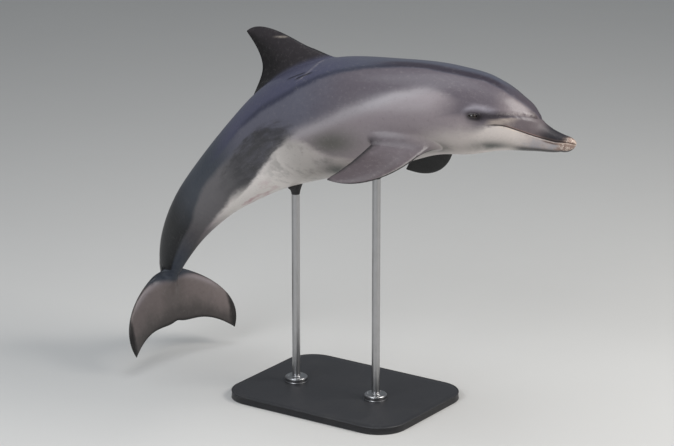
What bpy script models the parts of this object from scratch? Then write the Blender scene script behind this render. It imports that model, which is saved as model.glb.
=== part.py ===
"""Bottlenose dolphin, life size, in mid leap on a plain display stand.

The animal is laid out straight first: x runs back from the tip of the beak, y to its left and z up, all as
fractions of the body length. Its outlines are smooth curves through a few landmarks. The straight animal is
then bent along its spine into the leap. Finished, it heads towards +X over a stand whose underside is z = 0.
"""

import math

import bmesh
import bpy
import numpy as np

# Driving sizes, metres
BODY_LENGTH = 2.40  # tip of the beak to the notch of the flukes, along the body
BEAK_TIP = (0.921, 0.189, 1.144)
GAP = 0.0003  # between pieces that touch
FIN_GAP = 0.0005  # round the roots of the fins and the tops of the rods
EYE_RADIUS = 0.0175
EYE_SUNK = 0.0132  # eyeball's centre, in from the skin
EDGE_THICKNESS = 0.0014  # trailing edges of the fins
BASE_LENGTH = 0.80
BASE_WIDTH = 0.60
BASE_THICKNESS = 0.030
BASE_CORNER = 0.12
BASE_BEVEL = 0.004
ROD_RADIUS = 0.016
COLLAR_RADIUS = 0.045
COLLAR_HEIGHT = 0.022
ROD_STATIONS = {"front": 0.335, "rear": 0.500}

# Where one part of the body ends and the next begins, stations along the body
NECK_FRONT = 0.172
NECK_REAR = 0.200
TRUNK_REAR = 0.620
STOCK_REAR = 0.970
GAPE = 0.131  # corner of the mouth
EYE_STATION = 0.1555
EYE_LEVEL = 0.0068
NOSE = 0.020  # length of the rounded end of the beak
AROUND = 28  # points round the body
LENGTHS = (  # name, first and last station, rings, colour
    ("neck", NECK_FRONT, NECK_REAR, 4, "flank"),
    ("trunk", NECK_REAR, TRUNK_REAR, 20, "flank"),
    ("tail_stock", TRUNK_REAR, STOCK_REAR, 18, "back"),
)

# Body outlines: (station, distance from the spine line)
BACK = (
    (0.004, 0.0065),
    (0.020, 0.0094),
    (0.045, 0.0153),
    (0.062, 0.0243),
    (0.075, 0.0385),
    (0.100, 0.0531),
    (0.140, 0.0697),
    (0.200, 0.0785),
    (0.280, 0.0850),
    (0.400, 0.0955),
    (0.500, 0.0880),
    (0.600, 0.0680),
    (0.700, 0.0550),
    (0.800, 0.0470),
    (0.880, 0.0345),
    (0.925, 0.0200),
    (0.970, 0.0065),
)
BELLY = (
    (0.004, 0.0095),
    (0.020, 0.0177),
    (0.060, 0.0274),
    (0.110, 0.0393),
    (0.160, 0.0565),
    (0.220, 0.0650),
    (0.300, 0.0830),
    (0.400, 0.0945),
    (0.500, 0.0920),
    (0.600, 0.0755),
    (0.700, 0.0585),
    (0.800, 0.0445),
    (0.880, 0.0300),
    (0.925, 0.0175),
    (0.970, 0.0060),
)
HALF_WIDTH = (
    (0.004, 0.0095),
    (0.020, 0.0135),
    (0.040, 0.0172),
    (0.060, 0.0225),
    (0.080, 0.0340),
    (0.110, 0.0500),
    (0.150, 0.0620),
    (0.200, 0.0765),
    (0.280, 0.0860),
    (0.400, 0.0870),
    (0.500, 0.0790),
    (0.600, 0.0630),
    (0.700, 0.0430),
    (0.800, 0.0250),
    (0.880, 0.0160),
    (0.940, 0.0110),
    (0.970, 0.0090),
)
WIDEST_LEVEL = ((0.0, -0.001), (0.06, -0.002), (0.11, 0.006), (0.15, 0.008), (0.28, 0.003), (0.50, -0.002), (1.0, 0.0))
FULLNESS = ((0.0, 2.3), (0.10, 2.15), (0.30, 2.1), (0.60, 1.95), (0.80, 1.75), (0.95, 1.8), (1.0, 1.8))
MOUTH_LINE = (
    (-0.02, -0.0010),
    (0.019, -0.0024),
    (0.030, -0.0045),
    (0.045, -0.0048),
    (0.070, -0.0038),
    (0.090, -0.0014),
    (0.112, 0.0006),
    (0.132, -0.0030),
)

# The leap: (station, heading to the left, nose up, left side up), degrees
LEAP = (
    (0.00, 23, -12.7, -16),
    (0.12, 18, -10, -14),
    (0.28, 9, 7, -12),
    (0.42, 0, 16, -14),
    (0.56, -1, 35, -14),
    (0.70, -3, 44, -11),
    (0.82, -5, 58, -6),
    (0.90, -8, 75, -3),
    (0.95, -10, 102, -1),
    (1.06, -10, 102, -1),
)

# Fin outlines: four control points of a cubic curve from root to tip
DORSAL_STATION = 0.485
DORSAL_LEADING = ((0.404, 0.088), (0.443, 0.119), (0.521, 0.200), (0.563, 0.183))
DORSAL_TRAILING = ((0.575, 0.075), (0.5255, 0.1055), (0.5415, 0.142), (0.563, 0.183))
DORSAL_SUNK = 0.035
FLUKE_STATION = 0.965
FLUKE_LEADING = ((0.919, 0.006), (0.917, 0.062), (0.983, 0.151), (1.0425, 0.1123))
FLUKE_TRAILING = ((1.002, 0.000), (1.016, 0.028), (0.992, 0.0575), (1.0425, 0.1123))
FLUKE_DROOP = 0.012
FLIPPER_STATION = 0.25
FLIPPER_FRONT = (0.220, -0.049)  # front of the root: station, level
FLIPPER_REAR = (0.298, -0.0415)
FLIPPER_TIPS = {1: (0.353, 0.177, -0.102), -1: (0.333, 0.193, -0.1005)}  # left and right, both given on the left
# Across the root chord and along the span, in root chords and spans
FLIPPER_LEADING = ((0.0, -0.50), (0.54, -0.92), (1.22, -1.03), (1.0, 0.0))
FLIPPER_TRAILING = ((0.0, 0.50), (0.31, 0.34), (0.56, 0.11), (1.0, 0.0))

SKIN_COLOURS = {
    "back": (0.098, 0.085, 0.095),
    "flank": (0.235, 0.205, 0.205),
    "pale": (0.450, 0.390, 0.340),
    "fin": (0.060, 0.052, 0.052),
    "eye": (0.012, 0.009, 0.008),
}


def clear_scene():
    """Removes every object of the scene."""
    for old in list(bpy.data.objects):
        bpy.data.objects.remove(old, do_unlink=True)


def curve_through(landmarks, at, column=1):
    """Values of a smooth curve through the landmarks (first column), at the given stations."""
    table = np.array(landmarks, dtype=float)
    stations, values = table[:, 0], table[:, column]
    steps = np.diff(stations)
    rises = np.diff(values) / steps
    slopes = np.empty_like(values)
    slopes[0], slopes[-1] = rises[0], rises[-1]
    slopes[1:-1] = (rises[:-1] * steps[1:] + rises[1:] * steps[:-1]) / (steps[1:] + steps[:-1])
    at = np.clip(np.asarray(at, dtype=float), stations[0], stations[-1])
    left = np.clip(np.searchsorted(stations, at, side="right") - 1, 0, len(steps) - 1)
    t = (at - stations[left]) / steps[left]
    ease = t * t * (3 - 2 * t)
    bend = slopes[left] * t * (1 - t) ** 2 - slopes[left + 1] * t * t * (1 - t)
    return values[left] * (1 - ease) + values[left + 1] * ease + steps[left] * bend


def cubic(controls, t):
    """Points of a cubic Bezier curve."""
    p = np.array(controls, dtype=float)
    t = np.asarray(t, dtype=float)[:, None]
    return (1 - t) ** 3 * p[0] + 3 * t * (1 - t) ** 2 * p[1] + 3 * t * t * (1 - t) * p[2] + t**3 * p[3]


def spine_frames(steps=440, reach=1.06):
    """Stations along the spine with the axis point, the forward, left and up directions at each."""
    stations = np.linspace(0.0, reach, steps + 1)
    heading, pitch, roll = (np.radians(curve_through(LEAP, stations, column)) for column in (1, 2, 3))
    zero = np.zeros_like(heading)
    forward = np.stack(
        [np.cos(pitch) * np.cos(heading), np.cos(pitch) * np.sin(heading), np.sin(pitch)], axis=1
    )
    level = np.stack([-np.sin(heading), np.cos(heading), zero], axis=1)
    upright = np.cross(forward, level)
    left = np.cos(roll)[:, None] * level + np.sin(roll)[:, None] * upright
    up = np.cos(roll)[:, None] * upright - np.sin(roll)[:, None] * level
    axis = np.zeros_like(forward)
    axis[1:] = -np.cumsum((forward[1:] + forward[:-1]) / 2, axis=0) * (stations[1] - stations[0])
    return stations, axis, forward, left, up


SPINE = spine_frames()


def bend(points):
    """World points, metres, of straight-body points that follow the spine."""
    points = np.asarray(points, dtype=float)
    stations = SPINE[0]
    x = np.clip(points[:, 0], 0.0, stations[-1])
    axis, forward, left, up = (
        np.stack([np.interp(x, stations, table[:, k]) for k in range(3)], axis=1) for table in SPINE[1:]
    )
    axis = axis - forward * (points[:, 0] - x)[:, None]
    placed = axis + points[:, 1:2] * left + points[:, 2:3] * up
    return placed * BODY_LENGTH + np.array(BEAK_TIP)


def carry(points, station):
    """World points, metres, of straight-body points held rigidly by the spine at one station."""
    points = np.asarray(points, dtype=float)
    index = int(np.abs(SPINE[0] - station).argmin())
    axis, forward, left, up = (table[index] for table in SPINE[1:])
    placed = axis - (points[:, 0:1] - SPINE[0][index]) * forward + points[:, 1:2] * left + points[:, 2:3] * up
    return placed * BODY_LENGTH + np.array(BEAK_TIP)


def body_ring(station, grown=0.0):
    """One cross section of the straight body: a superellipse, wider than tall at the chest, keeled at the tail."""
    grown = grown / BODY_LENGTH
    rounding = 1.0
    at = station
    if station < NOSE:
        rounding = math.sqrt(max(0.0, 1 - (1 - station / NOSE) ** 2))
        at = NOSE
    back, belly, half = (float(curve_through(line, at)) * rounding for line in (BACK, BELLY, HALF_WIDTH))
    level = float(curve_through(WIDEST_LEVEL, at)) * rounding
    power = 2 / float(curve_through(FULLNESS, at))
    angle = np.linspace(0, 2 * math.pi, AROUND, endpoint=False)
    across, rise = np.sin(angle), np.cos(angle)
    height = np.where(rise >= 0, back - level + grown, belly + level + grown)
    y = (half + grown) * np.sign(across) * np.abs(across) ** power
    z = level + height * np.sign(rise) * np.abs(rise) ** power
    return np.stack([np.full(AROUND, station), y, z], axis=1)


def body_stations(first, last, count):
    """Stations between two ends, closer together round the end of the beak."""
    if first > 0:
        return np.linspace(first, last, count)
    nose = NOSE * (1 - np.cos(np.linspace(0.12, 1.0, 6) * math.pi / 2))
    return np.concatenate([nose, np.linspace(NOSE, last, count)[1:]])


def add_object(name, mesh, colour, roughness, metallic=0.0, parent=None):
    """Object with its own Principled material."""
    material = bpy.data.materials.new(name + "_finish")
    material.use_nodes = True
    surface = material.node_tree.nodes["Principled BSDF"]
    surface.inputs["Base Color"].default_value = (*colour, 1.0)
    surface.inputs["Roughness"].default_value = roughness
    surface.inputs["Metallic"].default_value = metallic
    mesh.materials.append(material)
    part = bpy.data.objects.new(name, mesh)
    bpy.context.scene.collection.objects.link(part)
    part.parent = parent
    mesh.shade_smooth()
    mesh.set_sharp_from_angle(angle=math.radians(40))
    return part


def loft(name, rings):
    """Closed mesh of triangles over a run of equal rings of world points, with a fan over each end."""
    mesh = bpy.data.meshes.new(name)
    shape = bmesh.new()
    rows = [[shape.verts.new(tuple(point)) for point in ring] for ring in rings]
    count = len(rows[0])
    for row, following in zip(rows, rows[1:]):
        for k in range(count):
            n = (k + 1) % count
            shape.faces.new((row[k], row[n], following[n]))
            shape.faces.new((row[k], following[n], following[k]))
    for row in (rows[0], rows[-1]):
        middle = shape.verts.new(tuple(np.mean([vert.co[:] for vert in row], axis=0)))
        for k in range(count):
            shape.faces.new((row[k], row[(k + 1) % count], middle))
    bmesh.ops.recalc_face_normals(shape, faces=shape.faces)
    shape.to_mesh(mesh)
    shape.free()
    return mesh


def body_loft(name, stations, grown=0.0):
    """Mesh of the body through these stations, bent into the leap."""
    return loft(name, [bend(body_ring(station, grown)) for station in stations])


def blade_rings(leading, trailing, normal, thickness, sides=7):
    """Rings of a fin: a rounded nose, the thickest point a third back, and a blunt thin trailing edge.

    leading and trailing are matching rows of points, normal the way across the blade, and thickness the
    greatest thickness of each ring, all in the straight body.
    """
    u = 0.5 * (1 - np.cos(np.linspace(0, math.pi, sides)))
    profile = 1.4845 * np.sqrt(u) - 0.63 * u - 1.758 * u**2 + 1.4215 * u**3 - 0.518 * u**4
    normal = np.asarray(normal, dtype=float)
    edge = EDGE_THICKNESS / BODY_LENGTH / 2
    rings = []
    for front, rear, thick in zip(leading, trailing, thickness):
        chord = front + u[:, None] * (rear - front)
        half = np.maximum(profile * thick, edge * np.minimum(1.0, u * 8))[:, None] * normal
        rings.append(np.concatenate([(chord + half)[::-1], (chord - half)[1:]]))
    return rings


def stretch(count, last=0.985):
    """Places along a fin from root to tip, closer together towards the tip."""
    return last * np.sin(np.linspace(0, math.pi / 2, count))


def dorsal_mesh():
    """Fin of the back: upright blade with a swept, hooked outline."""
    t = stretch(13)
    front, rear = cubic(DORSAL_LEADING, t), cubic(DORSAL_TRAILING, t)
    front = np.vstack([front[0] - (0, DORSAL_SUNK), front])
    rear = np.vstack([rear[0] - (0, DORSAL_SUNK), rear])
    front, rear = (np.stack([edge[:, 0], np.zeros(len(edge)), edge[:, 1]], axis=1) for edge in (front, rear))
    thickness = np.linalg.norm(rear - front, axis=1) * np.linspace(0.13, 0.10, len(front))
    rings = blade_rings(front, rear, (0, 1, 0), thickness)
    return loft("dorsal_fin", [carry(ring, DORSAL_STATION) for ring in rings])


def skin_side(station, level):
    """How far out the skin is at this station and level, on the lower half of the body."""
    belly, half = (float(curve_through(line, station)) for line in (BELLY, HALF_WIDTH))
    widest = float(curve_through(WIDEST_LEVEL, station))
    fullness = float(curve_through(FULLNESS, station))
    drop = abs(level - widest) / (belly + widest)
    return half * (1 - drop**fullness) ** (1 / fullness)


def flipper_mesh(name, side):
    """Flipper, side +1 for the left one: swept blade from the lower chest out to its rounded tip."""
    root_front = np.array([FLIPPER_FRONT[0], skin_side(*FLIPPER_FRONT), FLIPPER_FRONT[1]])
    root_rear = np.array([FLIPPER_REAR[0], skin_side(*FLIPPER_REAR), FLIPPER_REAR[1]])
    root = (root_front + root_rear) / 2
    span = np.array(FLIPPER_TIPS[side]) - root
    chord = root_rear - root_front
    normal = np.cross(chord, span)
    normal /= np.linalg.norm(normal)
    t = stretch(13)
    front, rear = cubic(FLIPPER_LEADING, t), cubic(FLIPPER_TRAILING, t)
    front = np.vstack([front[0] - (0.22, 0), front])
    rear = np.vstack([rear[0] - (0.22, 0), rear])
    front = root + front[:, :1] * span + front[:, 1:] * chord
    rear = root + rear[:, :1] * span + rear[:, 1:] * chord
    thickness = np.linalg.norm(rear - front, axis=1) * np.linspace(0.17, 0.10, len(front))
    mirror = np.array([1, side, 1])
    rings = blade_rings(front * mirror, rear * mirror, normal * mirror, thickness)
    return loft(name, [carry(ring, FLIPPER_STATION) for ring in rings])


def fluke_mesh(name, side):
    """Half of the flukes, side +1 for the left one: level blade from the middle line out to its tip."""
    t = stretch(13)
    front, rear = cubic(FLUKE_LEADING, t), cubic(FLUKE_TRAILING, t)
    middle = GAP / 2 / BODY_LENGTH
    front[0, 1], rear[0, 1] = middle, middle
    span = FLUKE_LEADING[3][1]
    edges = [
        np.stack([edge[:, 0], side * edge[:, 1], -FLUKE_DROOP * (edge[:, 1] / span) ** 2], axis=1)
        for edge in (front, rear)
    ]
    thickness = np.linalg.norm(edges[1] - edges[0], axis=1) * np.linspace(0.13, 0.10, len(front))
    rings = blade_rings(edges[0], edges[1], (0, 0, 1), thickness)
    return loft(name, [carry(ring, FLUKE_STATION) for ring in rings])


def eye_centre(side):
    """World centre of an eyeball, side +1 for the left one."""
    half = float(curve_through(HALF_WIDTH, EYE_STATION)) - EYE_SUNK / BODY_LENGTH
    return bend([(EYE_STATION, side * half, EYE_LEVEL)])[0]


def ball(name, centre, radius):
    """Sphere mesh at a world point."""
    mesh = bpy.data.meshes.new(name)
    shape = bmesh.new()
    bmesh.ops.create_uvsphere(shape, u_segments=16, v_segments=10, radius=radius)
    bmesh.ops.translate(shape, verts=shape.verts, vec=tuple(centre))
    shape.to_mesh(mesh)
    shape.free()
    return mesh


def jaw_block(name, grown=0.0):
    """Everything under the line of the mouth and in front of its corner, as one closed block."""
    grown = grown / BODY_LENGTH
    deep, wide = -0.10, 0.10
    rear = GAPE + grown
    rings = []
    for station in np.append(np.linspace(-0.02, 0.128, 30), rear):
        top = float(curve_through(MOUTH_LINE, station)) + grown
        ring = [(station, -wide, deep), (station, wide, deep), (station, wide, top), (station, -wide, top)]
        rings.append(bend(ring))
    return loft(name, rings)


def cylinder(name, radius, bottom, top, x, y, segments=32, bevel=0.0):
    """Upright round bar with a small bevel round its top edge."""
    profile = [(radius, bottom), (radius, top - bevel), (radius - bevel, top)] if bevel else [(radius, bottom), (radius, top)]
    angle = np.linspace(0, 2 * math.pi, segments, endpoint=False)
    rings = [
        np.stack([x + r * np.cos(angle), y + r * np.sin(angle), np.full(segments, z)], axis=1) for r, z in profile
    ]
    return loft(name, rings)


def base_mesh(name):
    """Flat plate with round corners and a bevelled top edge, its underside on z = 0."""
    corner = np.linspace(0, math.pi / 2, 9)
    reach_x, reach_y = BASE_LENGTH / 2 - BASE_CORNER, BASE_WIDTH / 2 - BASE_CORNER
    quarters = [(reach_x, reach_y, 0), (-reach_x, reach_y, 1), (-reach_x, -reach_y, 2), (reach_x, -reach_y, 3)]

    def outline(inset, z):
        radius = BASE_CORNER - inset
        points = [
            (cx + radius * math.cos(a + turn * math.pi / 2), cy + radius * math.sin(a + turn * math.pi / 2), z)
            for cx, cy, turn in quarters
            for a in corner
        ]
        return np.array(points)

    levels = [(0.0, 0.0), (0.0, BASE_THICKNESS - BASE_BEVEL), (BASE_BEVEL, BASE_THICKNESS)]
    return loft(name, [outline(inset, z) for inset, z in levels])


def helper(name, mesh):
    """Object that only cuts others."""
    tool = bpy.data.objects.new(name, mesh)
    bpy.context.scene.collection.objects.link(tool)
    tool.hide_render = True
    tool.display_type = "WIRE"
    return tool


def cut(part, tool, operation="DIFFERENCE"):
    """Boolean modifier of one object by another."""
    modifier = part.modifiers.new(tool.name, "BOOLEAN")
    modifier.operation = operation
    modifier.solver = "EXACT"
    modifier.object = tool


def build_body():
    """Head, jaw, neck, trunk, tail stock and eyes."""
    half_gap = GAP / 2 / BODY_LENGTH
    head_stations = body_stations(0.0, NECK_FRONT - half_gap, 22)
    head = add_object("head", body_loft("head", head_stations), SKIN_COLOURS["flank"], 0.35)
    jaw = add_object("lower_jaw", body_loft("lower_jaw", head_stations), SKIN_COLOURS["pale"], 0.35)
    cut(head, helper("cut_mouth", jaw_block("cut_mouth", GAP)))
    cut(jaw, helper("cut_jaw", jaw_block("cut_jaw")), "INTERSECT")
    for word, side in (("left", 1), ("right", -1)):
        centre = eye_centre(side)
        cut(head, helper(f"cut_eye_{word}", ball(f"cut_eye_{word}", centre, EYE_RADIUS + GAP)))
        add_object(f"eye_{word}", ball(f"eye_{word}", centre, EYE_RADIUS), SKIN_COLOURS["eye"], 0.08)
    for name, first, last, count, colour in LENGTHS:
        mesh = body_loft(name, body_stations(first + half_gap, last - half_gap, count))
        add_object(name, mesh, SKIN_COLOURS[colour], 0.35)


def build_fins(clearance):
    """Dorsal fin, flippers and flukes, each cut clear of the body."""
    parts = [add_object("dorsal_fin", dorsal_mesh(), SKIN_COLOURS["fin"], 0.35)]
    for word, side in (("left", 1), ("right", -1)):
        parts.append(add_object(f"flipper_{word}", flipper_mesh(f"flipper_{word}", side), SKIN_COLOURS["fin"], 0.35))
        parts.append(add_object(f"fluke_{word}", fluke_mesh(f"fluke_{word}", side), SKIN_COLOURS["fin"], 0.35))
    for part in parts:
        cut(part, clearance)


def build_stand(clearance):
    """Flat base with two upright rods, each in a collar, that end on the belly."""
    steel, black = (0.60, 0.60, 0.61), (0.030, 0.030, 0.032)
    add_object("stand_base", base_mesh("stand_base"), black, 0.45)
    for word, station in ROD_STATIONS.items():
        x, y, middle = bend([(station, 0.0, 0.0)])[0]
        floor = BASE_THICKNESS + GAP
        rod_name, collar_name = f"stand_rod_{word}", f"stand_collar_{word}"
        collar = cylinder(collar_name, COLLAR_RADIUS, floor, floor + COLLAR_HEIGHT, x, y, bevel=0.003)
        foot = floor + COLLAR_HEIGHT + GAP
        rod = add_object(rod_name, cylinder(rod_name, ROD_RADIUS, foot, middle, x, y), steel, 0.25, 1.0)
        add_object(collar_name, collar, steel, 0.25, 1.0)
        cut(rod, clearance)


def main():
    clear_scene()
    build_body()
    half_gap = GAP / 2 / BODY_LENGTH
    stations = np.concatenate(
        [body_stations(first + half_gap, last - half_gap, count) for _, first, last, count, _ in LENGTHS]
    )
    stations[-1] += GAP / BODY_LENGTH
    clearance = helper("cut_body", body_loft("cut_body", stations, FIN_GAP))
    build_fins(clearance)
    build_stand(clearance)


main()
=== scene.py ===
"""Looks for a life-size bottlenose dolphin in mid leap on a plain display stand.

The animal is laid out straight first, as the model's solids are: x runs back from the tip of the beak, y to
its left and z up, all as fractions of the body length. One skin is worked out on grids in that straight
layout, with the fins grafted on to it, and then bent along the spine into the leap.
"""

import logging
import math
from dataclasses import dataclass, field
from enum import Enum
from typing import Any, Callable, Sequence

import bpy
import numpy as np
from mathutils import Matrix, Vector


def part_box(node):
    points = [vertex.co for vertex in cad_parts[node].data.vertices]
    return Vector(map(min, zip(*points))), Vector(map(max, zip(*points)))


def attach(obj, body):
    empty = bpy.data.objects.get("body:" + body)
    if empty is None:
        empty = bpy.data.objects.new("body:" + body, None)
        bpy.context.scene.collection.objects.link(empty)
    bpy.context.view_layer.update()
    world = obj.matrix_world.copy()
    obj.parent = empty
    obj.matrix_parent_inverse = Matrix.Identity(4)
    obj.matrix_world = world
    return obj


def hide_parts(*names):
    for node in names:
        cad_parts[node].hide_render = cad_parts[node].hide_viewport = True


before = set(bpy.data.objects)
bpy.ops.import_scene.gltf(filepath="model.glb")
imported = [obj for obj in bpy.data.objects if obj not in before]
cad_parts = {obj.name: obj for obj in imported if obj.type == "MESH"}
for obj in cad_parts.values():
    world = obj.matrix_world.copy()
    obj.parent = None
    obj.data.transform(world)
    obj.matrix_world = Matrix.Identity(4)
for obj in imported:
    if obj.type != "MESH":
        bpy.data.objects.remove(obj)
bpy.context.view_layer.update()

Array = np.ndarray
Colour = tuple[float, float, float]
Point = tuple[float, float, float]
Pair = tuple[float, float]
Piece = bpy.types.Object
Landmarks = Sequence[Sequence[float]]
ROOT = "root"
BODY_LENGTH = 2.40  # metres from the tip of the beak to the notch of the flukes
MM = 1 / (1000 * BODY_LENGTH)  # a millimetre in body lengths
EYE_RADIUS = 0.0175  # metres
EYE_SUNK = 0.0132  # metres from the plain body's surface to the middle of the eyeball
log = logging.getLogger("dolphin")


# -------------------- curves and humps


def curve_through(landmarks: Landmarks, at: Any, column: int = 1) -> Array:
    """Smooth curve through landmarks: cubic pieces whose slope at a landmark averages the rises beside it.

    Args:
        landmarks: rows whose first column is the place, in rising order.
        at: places where the curve is wanted; outside the landmarks the end value holds.
        column: column of the landmarks that gives the value.

    Returns:
        The values, in the shape of at.
    """
    table = np.asarray(landmarks, dtype=float)
    places, values = table[:, 0], table[:, column]
    steps = np.diff(places)
    rises = np.diff(values) / steps
    slopes = np.empty_like(values)
    slopes[0], slopes[-1] = rises[0], rises[-1]
    slopes[1:-1] = (rises[:-1] * steps[1:] + rises[1:] * steps[:-1]) / (steps[1:] + steps[:-1])
    at = np.clip(np.asarray(at, dtype=float), places[0], places[-1])
    left = np.clip(np.searchsorted(places, at, side="right") - 1, 0, len(steps) - 1)
    t = (at - places[left]) / steps[left]
    ease = t * t * (3 - 2 * t)
    bow = slopes[left] * t * (1 - t) ** 2 - slopes[left + 1] * t * t * (1 - t)
    return values[left] * (1 - ease) + values[left + 1] * ease + steps[left] * bow


def cubic(controls: Landmarks, t: Array) -> Array:
    """Points of a cubic Bezier curve, one row for each t."""
    p = np.asarray(controls, dtype=float)
    t = np.asarray(t, dtype=float)[:, None]
    return (1 - t) ** 3 * p[0] + 3 * t * (1 - t) ** 2 * p[1] + 3 * t * t * (1 - t) * p[2] + t**3 * p[3]


def fade(x: Any, low: float, high: float) -> Array:
    """0 below low, 1 above high, smooth between; the other way round where low is the greater."""
    t = np.clip((np.asarray(x, dtype=float) - low) / (high - low), 0.0, 1.0)
    return t * t * (3 - 2 * t)


def hump(x: Any, width: float) -> Array:
    """Bell of height 1 at x = 0 that has sunk to about a third at x = width."""
    return np.exp(-((np.asarray(x, dtype=float) / width) ** 2))


def nearest(values: Array, wanted: float) -> int:
    """Index of the value nearest to the wanted one."""
    return int(np.abs(values - wanted).argmin())


def unit(vectors: Array) -> Array:
    """Vectors along the last axis, each made one long."""
    return vectors / np.maximum(np.linalg.norm(vectors, axis=-1, keepdims=True), 1e-12)


# -------------------- body and pose


@dataclass
class LeapPose:
    """The leap: how the straight animal is bent along its spine."""

    body_length: float = BODY_LENGTH
    beak_tip: Point = (0.921, 0.189, 1.144)
    turns: Landmarks = (  # station, heading to the left, nose up, left side up, degrees
        (0.00, 23, -12.7, -16), (0.12, 18, -10, -14), (0.28, 9, 7, -12), (0.42, 0, 16, -14),
        (0.56, -1, 35, -14), (0.70, -3, 44, -11), (0.82, -5, 58, -6), (0.90, -8, 75, -3),
        (0.95, -10, 102, -1), (1.06, -10, 102, -1),
    )
    steps: int = 440
    reach: float = 1.06
    stations: Array = field(init=False)
    frames: tuple[Array, ...] = field(init=False)

    def __post_init__(self) -> None:
        """Walks back along the spine and keeps its axis and directions at each station."""
        self.stations = np.linspace(0.0, self.reach, self.steps + 1)
        angles = (curve_through(self.turns, self.stations, column) for column in (1, 2, 3))
        heading, pitch, roll = (np.radians(angle) for angle in angles)
        level = np.cos(pitch)
        forward = np.stack([level * np.cos(heading), level * np.sin(heading), np.sin(pitch)], axis=1)
        sideways = np.stack([-np.sin(heading), np.cos(heading), np.zeros_like(heading)], axis=1)
        upright = np.cross(forward, sideways)
        cosine, sine = np.cos(roll)[:, None], np.sin(roll)[:, None]
        left, up = cosine * sideways + sine * upright, cosine * upright - sine * sideways
        axis = np.zeros_like(forward)
        axis[1:] = -np.cumsum((forward[1:] + forward[:-1]) / 2, axis=0) * self.stations[1]
        self.frames = (axis, forward, left, up)

    def placed(self, points: Array, axis: Array, left: Array, up: Array) -> Array:
        """World places of points that stand beside an axis, metres."""
        places = axis + points[:, 1:2] * left + points[:, 2:3] * up
        return places * self.body_length + np.array(self.beak_tip)

    def bend(self, points: Array) -> Array:
        """World points of straight points that follow the spine.

        Args:
            points: straight points, (n, 3), in body lengths.

        Returns:
            Their places after the bend, (n, 3), metres.
        """
        x = np.clip(points[:, 0], 0.0, self.stations[-1])
        axis, forward, left, up = (
            np.stack([np.interp(x, self.stations, part) for part in table.T], axis=1)
            for table in self.frames
        )
        return self.placed(points, axis - forward * (points[:, 0] - x)[:, None], left, up)

    def carry(self, points: Array, station: float) -> Array:
        """World points of straight points held stiffly by the spine at one station.

        Args:
            points: straight points, (n, 3), in body lengths.
            station: where the spine holds them.

        Returns:
            Their places, (n, 3), metres.
        """
        index = nearest(self.stations, station)
        axis, forward, left, up = (table[index] for table in self.frames)
        back = points[:, 0:1] - self.stations[index]
        return self.placed(points, axis - back * forward, left, up)


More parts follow.
